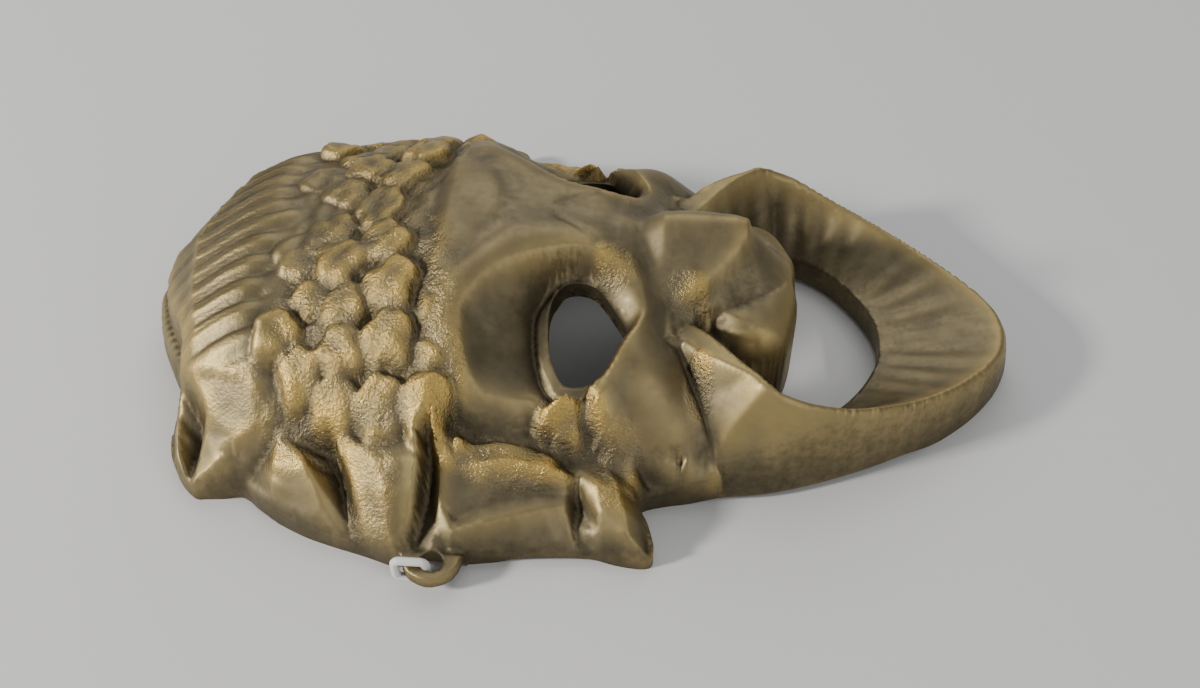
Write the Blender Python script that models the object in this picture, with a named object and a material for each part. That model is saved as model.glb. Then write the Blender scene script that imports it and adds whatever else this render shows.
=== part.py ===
"""Cast brass wall mask: a grotesque theatre face with vine leaves and grapes, lying face up.

Lengths in the form functions are millimetres. Along the mask u runs from the crown (minus) to the chin
(plus), v runs across it, and z rises from the flat it lies on. w is the distance from the middle line.
"""
import math

import bmesh
import bpy
import numpy as np
from mathutils import Vector
from mathutils.geometry import delaunay_2d_cdt

MM = 0.001

# Main sizes
WALL = 4.6
RIM_HEIGHT_HEAD = 6.0
RIM_HEIGHT_JAW = 3.5
RIM_ROUND = 4.0
MOUTH_RIM_HEIGHT = 9.5
MOUTH_RIM_EXTRA = 3.6
LUG_TOP = 7.0
LUG_BACK = 3.6
LUG_CENTRE = (-29.8, 83.4)
LUG_EYE_RADIUS = 3.0
CORD_RADIUS = 1.1
CORD_GAP = 0.5
CORD_ACROSS = 84.9
LIMB_OUTSIDE = -37.2

# Height of the middle line and half width of the plain dome, station by station from crown to chin
STATIONS = [-126, -123, -120, -116, -110, -103, -95, -88, -77, -66, -56, -41, -32, -26, -14, -9, 4, 13,
            20, 27, 34, 42, 50, 62, 80, 97, 112, 125]
MIDDLE_HEIGHT = [7, 13, 18.5, 24, 31, 37, 43, 46.5, 49, 50, 51, 54, 55, 56, 55, 53, 51, 49, 44, 38, 34,
                 32, 31, 28, 22, 18, 16, 12]
HALF_WIDTH = [2, 19, 25, 31, 39, 51, 58, 61, 62, 62, 63, 63, 61, 60, 58, 57, 56, 56, 56, 57, 57, 56, 55,
              52, 42, 33, 21, 4]
STATION_BLUR = (-5, -3, -1, 1, 3, 5)

# Plan outline: the near side from crown to chin, then the far side back to the crown
NEAR_EDGE = [(-125, 0), (-123.5, -5), (-120, -14), (-115, -22.5), (-110, -30), (-108, -36), (-107.5, -46),
             (-104, -56), (-97.5, -62.8), (-93, -63), (-84, -62.8), (-77, -67.5), (-66, -73), (-57, -76),
             (-48, -78.5), (-37.5, -82)]
NEAR_EDGE_AFTER_LUG = [(-22, -79), (-15, -78), (1.7, -76.5), (12, -76.5), (24.3, -77), (23.4, -68),
                       (21, -60), (36.6, -55.5), (50, -53.8), (62, -50.6), (79.6, -43.4), (96.6, -34),
                       (110, -23.6), (119, -13.4), (123.8, -5), (125, 0)]
FAR_EDGE = [(124, 6), (119, 14), (110, 24), (96.6, 34), (79.6, 43.4), (62, 50.6), (50, 53.8),
            (36.6, 55.5), (21, 60), (23.4, 68), (24.3, 77), (12, 76.5), (1.7, 76.5), (-15, 78), (-22, 79)]
FAR_EDGE_AFTER_LUG = [(-37.5, 82), (-48, 78.5), (-57, 76), (-66, 73), (-77, 67.5), (-84, 62.8), (-93, 63),
                      (-97.5, 62.8), (-103, 56), (-106, 48), (-109, 41), (-114, 33), (-118.5, 24),
                      (-122, 14), (-124.6, 6)]
LUG_EDGE = [(-37, 84.2), (-34.8, 87), (-30, 88.8), (-25.2, 87), (-23.2, 84)]
EDGE_WIDTH = [(-125, 8), (-118, 30), (-108, 46), (-98, 62.5), (-84, 63), (-77, 67.5), (-57, 76),
              (-37, 82), (-15, 78.5), (24, 77), (30, 58), (62, 50.6), (97, 34), (125, 2)]

# Openings, as half or whole outlines in u, w
MOUTH = [(87.5, 0), (87, 6), (85, 12), (81, 19.5), (75.5, 26.5), (70, 31), (64, 33.8), (58, 34.5),
         (54, 32), (55, 27), (58, 22), (60.5, 15), (62, 7), (62.5, 0)]
EYE = [(-5.2, 29), (-5.2, 23), (-3.8, 19), (-1.6, 16.5), (2, 15.6), (6.3, 16.9), (11.1, 21.2),
       (15.5, 27.6), (13.6, 30.2), (11.9, 33.9), (8.4, 40.2), (4.9, 42.6), (0.5, 42.8), (-1.8, 40.5),
       (-4.1, 35.1)]
SOCKET = [(-26.6, 34), (-26.5, 38.3), (-25.5, 43.4), (-23.1, 48.2), (-19.1, 51.5), (-15, 52.4), (-9, 52),
          (-3, 49.5), (2.5, 48), (8.5, 46), (12.5, 41), (15.5, 35.5), (18.5, 29.5), (20.2, 25),
          (19.6, 20.2), (17.6, 16), (13, 13.3), (7, 12.6), (2, 12.8), (-4.2, 14.6), (-10, 17.3),
          (-15, 20.8), (-20.4, 25), (-24, 29.4)]
SOCKET_NEAR_NOSE = 40.0
SOCKET_NEAR_WIDTH = 15.6
SOCKET_TILT = 0.474
LID_WIDTH = 4.0
LID_WIDTH_AT_TOP = 1.4
LID_HEIGHT = 2.0

# Crest of the mouth's flared rim, and the inner edge of the flat facet where it starts: u, w and height
CREST = [(31, 41, 34.5), (36.5, 42.8, 36), (44.5, 44.2, 36.8), (50.3, 45, 36.2), (56, 46.4, 34),
         (64, 46, 30.6), (75, 42.6, 26), (88, 36.6, 22.2), (97, 31.2, 20), (105.5, 24.6, 18.2),
         (114, 16.2, 17), (119, 8, 16.5), (120.4, 0, 16.5)]
INNER_EDGE = [(31, 21.8, 34), (35.5, 26.5, 35.6), (40.2, 32.4, 36.6), (45.6, 38.6, 36.6),
              (50, 42.6, 36.3), (53.7, 45.6, 35.4)]


# Fold beside the cheek, from the nose to the rim, and how steeply the face beyond it rises
FOLD = [(24, 17), (27, 24), (29.5, 31), (32.5, 38), (36, 44), (39, 49.5), (42, 55)]
FOLD_SLOPE = 1.3

# Nose: its ridge as u and height, the lower edge of its flank and the ridge of the lip as u, w and height
NOSE_RIDGE = [(0, 49.8), (12, 48.8), (17.5, 48), (20.5, 49.8), (24, 52), (28, 52.6), (36, 52.5),
              (43, 52.4), (47, 51.2), (50, 49)]
FLANK_EDGE = [(20, 17.5, 37.8), (27.4, 18.5, 38.5), (31.3, 17.5, 40), (35, 15, 42), (40.3, 11, 44.3),
              (44.3, 7, 47), (46.4, 3.5, 49.6), (47, 0, 50.6)]
LIP_RIDGE = [(31, 23, 34), (34.5, 20, 33.6), (40, 17, 34), (45, 14.5, 34.3), (52, 10.5, 35), (58, 5, 35),
             (59.6, 0, 35)]
LIP_EDGE_DROP = 13.0

# Grapes: u, w, radius and how far each stands out
GRAPES = [(-74, 39.5, 6.6, 1.0), (-66.5, 48, 6.4, 1.0), (-57, 33, 6.4, 1.0), (-56.5, 43.5, 6.8, 1.0),
          (-57, 53, 6.4, 0.9), (-44.5, 41.5, 7.6, 1.0), (-45.5, 55, 7.0, 0.9), (-34, 55.5, 7.4, 0.9),
          (-45.5, 28.5, 7.8, 1.0), (-60, 20.5, 7.6, 0.9), (-49.5, 15, 7.6, 0.8), (-66, 30, 5.6, 0.7),
          (-64.5, 9, 7.0, 0.55), (-53, 3, 6.6, 0.6), (-72, 16, 7.5, 0.4), (-63.5, 39.5, 4.4, 0.6),
          (-35.5, 46.5, 5.0, 0.6), (-28, 60, 4.6, 0.4), (-53.5, 24, 4.2, 0.5), (-38, 34, 4.5, 0.45)]

# Lines that run from the grapes out to the rim, each a ridge or a valley of the leaves: u, w and height, where
# a height of 0 means on the plain form. The leaves' flat faces lie between each line and the next.
LEAF_LINES = [
    [(-109.3, 34, 7), (-108.3, 41, 6), (-107.6, 48, 5), (-104.2, 57, 5), (-98, 63.6, 5)],
    [(-105, 40.5, 0), (-103.5, 47, 16), (-102.4, 52.3, 14), (-100.9, 58, 11.5), (-97.9, 62.6, 7)],
    [(-98, 43.5, 0), (-96.5, 48.5, 12.5), (-96.2, 52, 8.5), (-97, 56, 7), (-97.4, 62.2, 6.3)],
    [(-80.1, 48.7, 0), (-92.1, 51.3, 22.5), (-93.7, 53.8, 16.5), (-95.2, 57.8, 11), (-96.8, 62.9, 6.5)],
    [(-73.4, 55.5, 0), (-77.6, 56, 24), (-83, 57.8, 19.5), (-89.6, 60.6, 13), (-96.6, 63.6, 6.5)],
    [(-72, 57, 0), (-76, 60, 15.5), (-80, 62, 9.5), (-85, 63, 5), (-93, 64, 4)],
    [(-70.3, 57.5, 0), (-72.3, 63.6, 18), (-72.8, 66.8, 14), (-71.8, 69, 10), (-75, 71, 5)],
    [(-67.8, 58.5, 0), (-65.3, 62.9, 20.5), (-62.7, 66.3, 19), (-59.1, 71.9, 13), (-64, 75.5, 5)],
    [(-58.5, 56, 0), (-57.2, 60.5, 16), (-55.8, 64, 12), (-52.3, 74.4, 7.5), (-51.5, 79, 4)],
    [(-55.8, 58, 0), (-52.9, 64.7, 21), (-50.8, 69.3, 17.3), (-47.5, 75.6, 12), (-46, 81, 4)],
    [(-48.5, 58.6, 0), (-44.9, 66.2, 24), (-42.5, 71.7, 19.5), (-40.9, 78.4, 11.5), (-41.5, 83, 4)],
    [(-35.7, 59.8, 0), (-34.5, 65.9, 25.5), (-35, 71.8, 19.5), (-37.1, 79.4, 10), (-37.3, 84.5, 5)],
    [(-32.2, 55, 0), (-32.4, 60, 17), (-32.6, 66, 12), (-34.4, 77.5, 7), (-34.5, 84, 5)],
    [(-29.6, 57.5, 0), (-29.4, 64.5, 21), (-29.2, 70, 15), (-29.5, 76, 9.5), (-30, 84, 6)],
    [(-27.1, 57.9, 0), (-25.5, 64.3, 20.5), (-25, 73.3, 11), (-25.2, 76.6, 11), (-25.4, 81.5, 4)],
    [(-20.8, 57.1, 0), (-19.2, 63.2, 21.5), (-19, 70.3, 13), (-18.1, 74.8, 12.5), (-18.6, 79.5, 4)],
    [(-13.3, 56, 0), (-11.4, 61.6, 22), (-11.5, 67.3, 13.8), (-10.7, 72.5, 13), (-10.7, 78.5, 3)],
    [(-5.1, 56.6, 0), (-3.8, 62.4, 20.5), (-4.2, 65.9, 14.5), (-3.6, 70.3, 13.5), (-3.5, 78, 3)],
    [(0.2, 58.7, 0), (1.8, 62.5, 18.5), (2.2, 65.6, 14), (2, 68.6, 13), (2.4, 77.5, 3)],
    [(3.2, 57.8, 0), (5.2, 62, 15.5), (5.4, 66, 9), (5.2, 71.5, 7), (6, 77.5, 3)],
    [(7.3, 57.7, 0), (9.8, 64.2, 17), (11, 70, 14), (11.2, 73.7, 9), (12, 77.5, 3)],
    [(11.9, 57.6, 0), (15.4, 64.6, 16), (17.2, 70.1, 14.5), (18.5, 74.9, 11), (19.2, 78, 3)],
    [(15.4, 56.4, 0), (18.8, 60.9, 13), (20.9, 64.1, 9), (23.4, 69.6, 6), (25, 77.5, 3)]]

# Hair ribs at the crown and the striations in the mouth's flare
RIB_PITCH = 7.4
RIB_START = -0.9
RIB_HEIGHT = 0.7
RIB_SLANT = 0.25
FLARE_GROOVES = 34
FLARE_GROOVE_DEPTH = 0.6


def smooth_max(a, b, k):
    return 0.5 * (a + b + np.sqrt((a - b) ** 2 + k * k))


def smooth_min(a, b, k):
    return 0.5 * (a + b - np.sqrt((a - b) ** 2 + k * k))


def ease(x, low, high):
    t = np.clip((x - low) / (high - low), 0.0, 1.0)
    return t * t * (3 - 2 * t)


def bend(points, per=6, closed=False):
    """A smooth curve through the points."""
    p = np.array(points, float)
    n = len(p)
    out = []
    for i in range(n if closed else n - 1):
        if closed:
            a, b, c, d = p[i - 1], p[i], p[(i + 1) % n], p[(i + 2) % n]
        else:
            b, c = p[i], p[i + 1]
            a = p[i - 1] if i else 2 * b - c
            d = p[i + 2] if i + 2 < n else 2 * c - b
        for j in range(per):
            t = j / per
            cubic = (2 * a - 5 * b + 4 * c - d) * t * t + (3 * b - a - 3 * c + d) * t ** 3
            out.append(0.5 * (2 * b + (c - a) * t + cubic))
    if not closed:
        out.append(p[-1])
    return np.array(out)


def along(u, w, path):
    """Distance to a path, share of the way along it, side of it, and the heights that it carries."""
    p = np.asarray(path, float)
    best = np.full(u.shape, 1e9)
    side = np.zeros(u.shape)
    share = np.zeros(u.shape)
    carried = np.zeros(u.shape)
    n = len(p) - 1
    for i in range(n):
        e0 = p[i + 1, 0] - p[i, 0]
        e1 = p[i + 1, 1] - p[i, 1]
        du = u - p[i, 0]
        dw = w - p[i, 1]
        t = np.clip((du * e0 + dw * e1) / max(e0 * e0 + e1 * e1, 1e-12), 0, 1)
        d = (du - t * e0) ** 2 + (dw - t * e1) ** 2
        nearer = d < best
        best = np.where(nearer, d, best)
        share = np.where(nearer, (i + t) / n, share)
        side = np.where(nearer, np.sign(e0 * dw - e1 * du), side)
        if p.shape[1] > 2:
            carried = np.where(nearer, p[i, 2] * (1 - t) + p[i + 1, 2] * t, carried)
    return np.sqrt(best), share, side, carried


def soft_distance(u, w, ring):
    """Distance from an outline without a crease where two of its sides are equally near."""
    p = np.asarray(ring, float)
    lengths = np.hypot(*(np.roll(p, -1, axis=0) - p).T)
    pull = np.zeros(u.shape)
    for (x, y), length in zip(p, lengths):
        pull += length / ((u - x) ** 2 + (w - y) ** 2 + 0.3) ** 2
    return np.clip((math.pi / 2 / pull) ** (1 / 3) - 0.6, 0, None)


def inside(u, w, ring):
    """Distance from a closed outline, positive inside it."""
    p = np.asarray(ring, float)
    d = along(u, w, np.vstack([p, p[:1]]))[0]
    within = np.zeros(u.shape, bool)
    n = len(p)
    for i in range(n):
        x0, y0 = p[i, :2]
        x1, y1 = p[(i + 1) % n, :2]
        within ^= ((y0 > w) != (y1 > w)) & (u < (x1 - x0) * (w - y0) / (y1 - y0 + 1e-12) + x0)
    return np.where(within, d, -d)


def stroke(u, w, points, height, width, taper=0.12):
    """A rounded ridge along a curve, or a groove where the height is below zero."""
    d, share = along(u, w, bend(points, 5))[:2]
    ends = np.minimum(ease(share, -0.01, taper), ease(1 - share, -0.01, taper))
    return height * np.exp(-(d / width) ** 2) * (0.15 + 0.85 * ends)


def fold(u, w, points, height, width, taper=0.12):
    """A ridge or groove of two flat faces that meet in an edge."""
    d, share = along(u, w, bend(points, 4))[:2]
    ends = np.minimum(ease(share, -0.01, taper), ease(1 - share, -0.01, taper))
    return height * np.clip(1 - d / (1.9 * width), 0, 1) * (0.15 + 0.85 * ends)


def crease(u, w, points, depth, width):
    """A fold line that is sharp on one side and eases out on the other."""
    d, share, side = along(u, w, bend(points, 5))[:3]
    ends = np.minimum(ease(share, -0.01, 0.15), ease(1 - share, -0.01, 0.2))
    fall = np.where(side > 0, np.exp(-(d / (0.35 * width)) ** 2), np.exp(-d / width))
    return -depth * ends * fall


def lean_of_crown(u):
    """The crown sits a little off the middle line."""
    return 5.0 * ease(-95 - u, 0, 27)


def full_outline(per=6):
    near_lug = [(u, -w) for u, w in LUG_EDGE]
    far_lug = [(u, w) for u, w in reversed(LUG_EDGE)]
    parts = [bend(NEAR_EDGE, per), bend(near_lug, per), bend(NEAR_EDGE_AFTER_LUG, per), bend(FAR_EDGE, per),
             bend(far_lug, per), bend(FAR_EDGE_AFTER_LUG, per)]
    return np.vstack(parts)


def full_mouth(per=6):
    half = bend(MOUTH, per)
    return np.vstack([half, (half[::-1] * [1, -1])[1:-1]])


OUTLINE = full_outline()
MOUTH_RING = bend(MOUTH, 4, True)
EYE_RING = bend(EYE, 4, True)
SOCKET_RING = bend(SOCKET, 4, True)
CREST_LINE = bend(CREST, 5)
INNER_LINE = np.vstack([bend(INNER_EDGE, 4), CREST_LINE[20:]])


def plain_form(u, w):
    high = sum(np.interp(u + k, STATIONS, MIDDLE_HEIGHT) for k in STATION_BLUR) / len(STATION_BLUR)
    half = sum(np.interp(u + k, STATIONS, HALF_WIDTH) for k in STATION_BLUR) / len(STATION_BLUR)
    t = np.clip(w / half, 0, 1)
    dome = 6 + (high - 6) * np.sqrt(np.clip(1 - t * t, 0, 1))
    edge = np.interp(u, [p[0] for p in EDGE_WIDTH], [p[1] for p in EDGE_WIDTH])
    slope = 0.9 - 0.5 * ease(u, -34, -22) - 0.35 * ease(-98 - u, 0, 12)
    skirt = np.minimum(7.5 + slope * (edge - w) * ease(edge - w, -2, 6), 34)
    head = ease(24 - u, 0, 6)
    return smooth_max(dome, skirt * head + 5 * (1 - head), 4.0)


def hair_fan(u, v, w):
    """Combed ribs at the crown, and the hollow between them and the bunches of grapes."""
    where = ease(-75 - u, 0, 8) * (1 - ease(w, 40, 50)) * ease(125 + u, 0, 2)
    turn = np.sin(math.pi * (v - RIB_START - RIB_SLANT * (u + 119)) / RIB_PITCH)
    ribs = 2 * np.sqrt(turn * turn + 0.02) - 1.1
    hollow = stroke(u, w, [(-78, 0), (-80, 15), (-80, 27), (-78, 38)], -1.6, 4)
    return where * RIB_HEIGHT * ribs + hollow


def grapes(u, w):
    band = ease(u, -80, -72) * ease(-33 - u, 0, 6) * (1 - ease(w, 56, 64))
    top = np.zeros(u.shape)
    for centre, across, radius, stand in GRAPES:
        turn = np.arctan2(w - across, u - centre)
        uneven = 1 + 0.09 * np.sin(3 * turn + centre) + 0.06 * np.sin(5 * turn + across)
        share = ((u - centre) ** 2 + (w - across) ** 2) / (radius * uneven) ** 2
        top = np.maximum(top, 0.62 * radius * stand * np.sqrt(np.clip(1 - share ** 2.0, 0, 1)))
    lumps = np.sin(0.61 * u + 0.9 * np.sin(0.37 * w)) * np.sin(0.53 * w + 1.1 * np.sin(0.41 * u))
    return top + 0.45 * lumps * band - 2.0 * band


def leaf_faces(u, w, z):
    """The leaves as flat faces, ruled between each of their lines and the next."""
    lines = np.array(LEAF_LINES, float)
    form = plain_form(lines[:, :, 0], lines[:, :, 1])
    lines[:, :, 2] = np.where(lines[:, :, 2] == 0, form, lines[:, :, 2])
    place = w > 38
    x = u[place]
    y = w[place]
    level = np.zeros(x.shape)
    for one, other in zip(lines[:-1], lines[1:]):
        for i in range(len(one) - 1):
            for p, q, r in ((one[i], one[i + 1], other[i + 1]), (one[i], other[i + 1], other[i])):
                area = (q[0] - p[0]) * (r[1] - p[1]) - (r[0] - p[0]) * (q[1] - p[1])
                if abs(area) < 1e-6:
                    continue
                s = ((x - p[0]) * (r[1] - p[1]) - (r[0] - p[0]) * (y - p[1])) / area
                t = ((q[0] - p[0]) * (y - p[1]) - (x - p[0]) * (q[1] - p[1])) / area
                within = (s >= -1e-6) & (t >= -1e-6) & (s + t <= 1 + 1e-6)
                here = p[2] + s * (q[2] - p[2]) + t * (r[2] - p[2])
                level = np.where(within, np.maximum(level, here), level)
    out = z.copy()
    out[place] = np.where(level > 0, level, z[place])
    return out


def leaf_edges(u, w):
    """The rolled inner edge of the last leaf, and the knots by the outer corner of the eye."""
    z = fold(u, w, [(-27.5, 59.5), (-24, 58.5), (-17, 57), (-9, 56.5), (-3, 58), (1, 60)], 3.0, 2.2)
    z += fold(u, w, [(-28, 53), (-24, 55), (-17, 54), (-9, 52.8), (-3, 54)], -3.0, 2.2)
    z += fold(u, w, [(-7, 53), (-1, 49.5), (3, 46)], 2.6, 1.8)
    z += fold(u, w, [(-2, 54), (5, 54.5)], 2.4, 1.8)
    z += fold(u, w, [(6, 46), (6, 50), (9, 54)], -2.8, 1.5)
    z += fold(u, w, [(-2, 46), (-6, 49.5), (-10, 52)], -2.6, 1.6)
    z += fold(u, w, [(8, 47), (12, 51), (16, 56)], 2.0, 2.6)
    return z


def forehead(u, w):
    z = 2.2 * np.exp(-((u + 33) / 15) ** 2 - (w / 26) ** 2)
    valley = [(-17.3, -4), (-17.3, 2), (-18.3, 7), (-21.5, 13), (-27, 20), (-33.5, 26)]
    z += stroke(u, w, valley, -1.0, 3.4, 0.2)
    brow = [(12, 8), (4, 8.5), (-5, 10), (-13, 14), (-20, 19.5), (-26, 26.5), (-29.8, 34), (-29, 42)]
    brow += [(-25.5, 49), (-19, 54)]
    z += stroke(u, w, brow, 1.7, 5.6)
    z += fold(u, w, [(-6, 2), (-1, 5), (3, 8), (8, 12)], -0.5, 0.9)
    return z


def eye_socket(u, w, z):
    """Flat faces that run from the brow and the nose down to the opening, and the lid's raised strip."""
    deep = np.where(inside(u, w, SOCKET_RING) > 0, soft_distance(u, w, SOCKET_RING), 0)
    from_hole = np.clip(-inside(u, w, EYE_RING), 0, None)
    floor = SOCKET_NEAR_NOSE - SOCKET_TILT * (w - SOCKET_NEAR_WIDTH) - 1.2 * ease(-u, 2, 8)
    strip = np.interp(w, [17, 26], [LID_WIDTH_AT_TOP, LID_WIDTH])
    to_lid = np.clip(from_hole - strip * ease(9 - u, 0, 5), 0, None)
    share = np.clip(deep / (deep + to_lid + 1e-6), 0, 1)
    z = z + (np.minimum(floor, z) - z) * share
    lid = LID_HEIGHT * (1 - ease(from_hole, 0.75 * strip, strip))
    return z + lid * (1 - ease(u, 6, 12)) * ease(deep, 0, 1) * ease(w, 12, 24)


def cheek(u, w):
    z = 5.0 * np.exp(-((u - 23) / 9) ** 2 - ((w - 44) / 11) ** 2)
    z = z - 2.5 * np.exp(-((u - 28) / 9) ** 2 - ((w - 56) / 5) ** 2)
    return z - 3.5 * np.exp(-((u - 37) / 4) ** 2 - ((w - 52) / 4) ** 2)


def lip_folds(u, w):
    """Three small folds that run back from the corner of the upper lip."""
    z = stroke(u, w, [(40.7, 21), (45.4, 22.9), (50.8, 23.7)], -0.9, 0.9)
    z += stroke(u, w, [(41.6, 23.2), (46.9, 25), (52.6, 25.4)], -0.9, 0.9)
    return z + stroke(u, w, [(40, 18.8), (44.5, 20.4), (49, 20.8)], -0.7, 0.9)


def side_of_mouth(u, w):
    """Where the mouth's flare or the lip stands: past the fold, the facet's inner edge and the lip's ridge."""
    past_fold = along(u, w, FOLD)[2] < 0
    past_edge = along(u, w, INNER_LINE)[2] < 0
    past_ridge = along(u, w, LIP_RIDGE)[2] > 0
    return past_fold & past_edge & past_ridge & (u > 30)


def nose_and_lip(u, w, z):
    """The nose with a ridge and two flanks, its hollow underside, and the upper lip below it."""
    from_edge, _, beyond, edge = along(u, w, FLANK_EDGE)
    beyond = np.where(u > 20, beyond, np.sign(w - 17.5))
    from_lip, _, past_lip, ridge = along(u, w, LIP_RIDGE)
    top = np.interp(u, [p[0] for p in NOSE_RIDGE], [p[1] for p in NOSE_RIDGE])
    half = np.interp(u, [p[0] for p in FLANK_EDGE], [p[1] for p in FLANK_EDGE])
    level = np.interp(u, [p[0] for p in FLANK_EDGE], [p[2] for p in FLANK_EDGE])
    round_ridge = np.sqrt(w * w + 9) - 3
    round_edge = np.maximum(np.sqrt(half * half + 9) - 3, 0.3)
    flank = top - (top - level) * np.clip(round_ridge / round_edge, 0, 1.6)
    share = np.clip(from_edge / (from_edge + from_lip + 1e-6), 0, 1)
    under = edge + (ridge - edge) * share ** 0.75
    root = 0.05 * np.clip(26 - 0.15 * w - u, 0, 60) ** 2 * ease(w, 2, 12)
    below_tip = beyond > 0
    nose = np.where(below_tip, np.where(u > 26, under, edge - 2.2 * from_edge - root), flank - root)
    nose = nose - 14 * ease(13 - u, 0, 9)
    from_mouth = np.clip(-inside(u, w, MOUTH_RING), 0, None)
    down = np.clip(from_lip / (from_lip + from_mouth + 1e-6), 0, 1)
    lip = ridge - LIP_EDGE_DROP * (1 - np.sqrt(np.clip(1 - down ** 2, 0, 1)))
    out = ((u - 48) / 18) ** 2 + (w / 26) ** 2
    lip = np.minimum(lip, 36.5 - 16 * (1 - np.sqrt(np.clip(1 - out ** 2, 0, 1)))) - 40 * (out > 1)
    form = np.where((past_lip > 0) & (u > 30), lip, nose)
    z = np.where(side_of_mouth(u, w), -30, z)
    return np.where((u > 4) & (w < 30) & (u < 64), smooth_max(z, form, 0.8 + 2.4 * ease(28 - u, 0, 6)), z)


def mouth_rim(u, w, z, from_edge):
    """The flared rim of the mouth: a flat facet beside the cheek, then one round crest about the chin."""
    d, _, side, crest = along(u, w, CREST_LINE)
    d = np.sqrt(d * d + 1.0) - 1.0
    inner_d, _, inner_side, inner = along(u, w, INNER_LINE)
    from_edge = np.clip(from_edge, 0, None)
    from_mouth = np.clip(-inside(u, w, MOUTH_RING), 0, None)
    out = np.clip(d / (d + from_edge + 1e-6), 0, 1)
    round_wall = RIM_HEIGHT_JAW + (crest - RIM_HEIGHT_JAW) * (1 - out ** 2)
    flat_wall = RIM_HEIGHT_JAW + (crest - RIM_HEIGHT_JAW) * (1 - out ** 1.2)
    wall = flat_wall + (round_wall - flat_wall) * ease(u, 48, 62)
    into = np.clip(inner_d / (inner_d + from_mouth + 1e-6), 0, 1)
    flare = MOUTH_RIM_HEIGHT + (inner - MOUTH_RIM_HEIGHT) * (1 - into) ** 1.25
    turn = np.arctan2(w, u - 60)
    shallow = 1 - 0.5 * ease(u, 60, 75)
    flare = flare + FLARE_GROOVE_DEPTH * shallow * np.sin(turn * FLARE_GROOVES) * np.sin(math.pi * into)
    facet = (crest * (inner_d + 0.01) + inner * d) / (d + inner_d + 0.01)
    past, _, which, _ = along(u, w, FOLD)
    past = np.where((which < 0) & (along(u, w, LIP_RIDGE)[2] > 0), past, 0)
    rise = np.where(z < -20, 99, z + np.interp(w, [24, 32, 42], [1.2, 2.2, FOLD_SLOPE]) * past)
    beyond = (past > 0) | (z < -20)
    on_facet = np.where(beyond, smooth_min(facet, rise, 0.5), z)
    on_wall = np.where(beyond, smooth_min(wall, rise, 0.8), z)
    blend = ease(np.where(side > 0, d, -d), -1.2, 1.2)
    shoulder = on_facet + (on_wall - on_facet) * blend
    within = side_of_mouth(u, w) | (u > 66)
    z = np.where(within & (inner_side < 0), smooth_max(z, flare, 0.8), shoulder)
    z = np.where((u > 54) & (inner_side < 0), z + (on_wall - z) * blend, z)
    return z + crease(u, w, FOLD[2:], 1.4, 2.0)


def relief(u, v):
    """Height of the face over the flat it lies on."""
    from_edge = inside(u, v, OUTLINE)
    s = v - lean_of_crown(u)
    w = np.sqrt(s * s + 0.6)
    z = leaf_faces(u, w, plain_form(u, w)) + hair_fan(u, s, w) + grapes(u, w) + leaf_edges(u, w)
    z = z + forehead(u, w) + cheek(u, w)
    z = eye_socket(u, w, z)
    z = nose_and_lip(u, w, z)
    z = mouth_rim(u, w, z, from_edge) + lip_folds(u, w)
    low = np.where(u > 30, RIM_HEIGHT_JAW, RIM_HEIGHT_HEAD)
    e = np.clip(from_edge, 0, RIM_ROUND) / RIM_ROUND
    free = np.where(from_edge > RIM_ROUND, 60, 0) * ease(from_edge, RIM_ROUND, RIM_ROUND + 3)
    cap = low + 9.0 * np.sqrt(np.clip(1 - (1 - e) ** 2, 0, 1)) + free + 40 * ease(u, 30, 44)
    z = np.maximum(smooth_min(z, cap, 1.0), 3.0)
    lug = ease(w, 79.5, 81) * ease(7.4 - np.abs(u - LUG_CENTRE[0] + 0.3), -1.5, 0)
    return z * (1 - lug) + LUG_TOP * lug


def rests_at(u, v):
    """Level of the rim's underside: on the flat at chin, crown and leaf tips, a little over it in between."""
    w = np.abs(v)
    arch = 2.2 * ease(u, 32, 46) * ease(104 - u, 0, 14)
    arch = arch + 1.6 * ease(u, -17, -8) * ease(16 - u, 0, 7)
    arch = arch + 1.2 * ease(u, -90, -84) * ease(-72 - u, 0, 6)
    lug = ease(w, 79.8, 80.8) * ease(8.4 - np.abs(u - LUG_CENTRE[0] + 0.3), -1.5, 0)
    return arch * (1 - lug) + LUG_BACK * lug


GRID_STEP = 1.0


def hollow_grid():
    """Underside of the casting on a grid: the face moved inwards by the wall, with flat land at the rim."""
    us = np.arange(-130, 131, GRID_STEP)
    vs = np.arange(-94, 95, GRID_STEP)
    u, v = np.meshgrid(us, vs, indexing="ij")
    face = np.where(inside(u, v, OUTLINE) > 0, relief(u, v), 0.0)
    under = np.full(face.shape, 1e3)
    reach = int(WALL // GRID_STEP)
    for i in range(-reach, reach + 1):
        for j in range(-reach, reach + 1):
            gone = (i * i + j * j) * GRID_STEP ** 2
            if gone > WALL * WALL:
                continue
            moved = np.roll(np.roll(face, i, axis=0), j, axis=1) - math.sqrt(WALL * WALL - gone)
            under = np.minimum(under, moved)
    near_mouth = np.clip(-inside(u, np.abs(v), MOUTH_RING), 0, None)
    flare_side = ease(u + 0.9 * (np.abs(v) - 43), 46, 56)
    under = under - MOUTH_RIM_EXTRA * np.exp(-(near_mouth / 4.0) ** 2) * flare_side
    return us, vs, np.maximum(under, rests_at(u, v))


def sample(grid, u, v):
    us, vs, values = grid
    x = (u - us[0]) / GRID_STEP
    y = (v - vs[0]) / GRID_STEP
    i = np.clip(x.astype(int), 0, len(us) - 2)
    j = np.clip(y.astype(int), 0, len(vs) - 2)
    x = x - i
    y = y - j
    lower = values[i, j] * (1 - y) + values[i, j + 1] * y
    upper = values[i + 1, j] * (1 - y) + values[i + 1, j + 1] * y
    return lower * (1 - x) + upper * x


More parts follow.
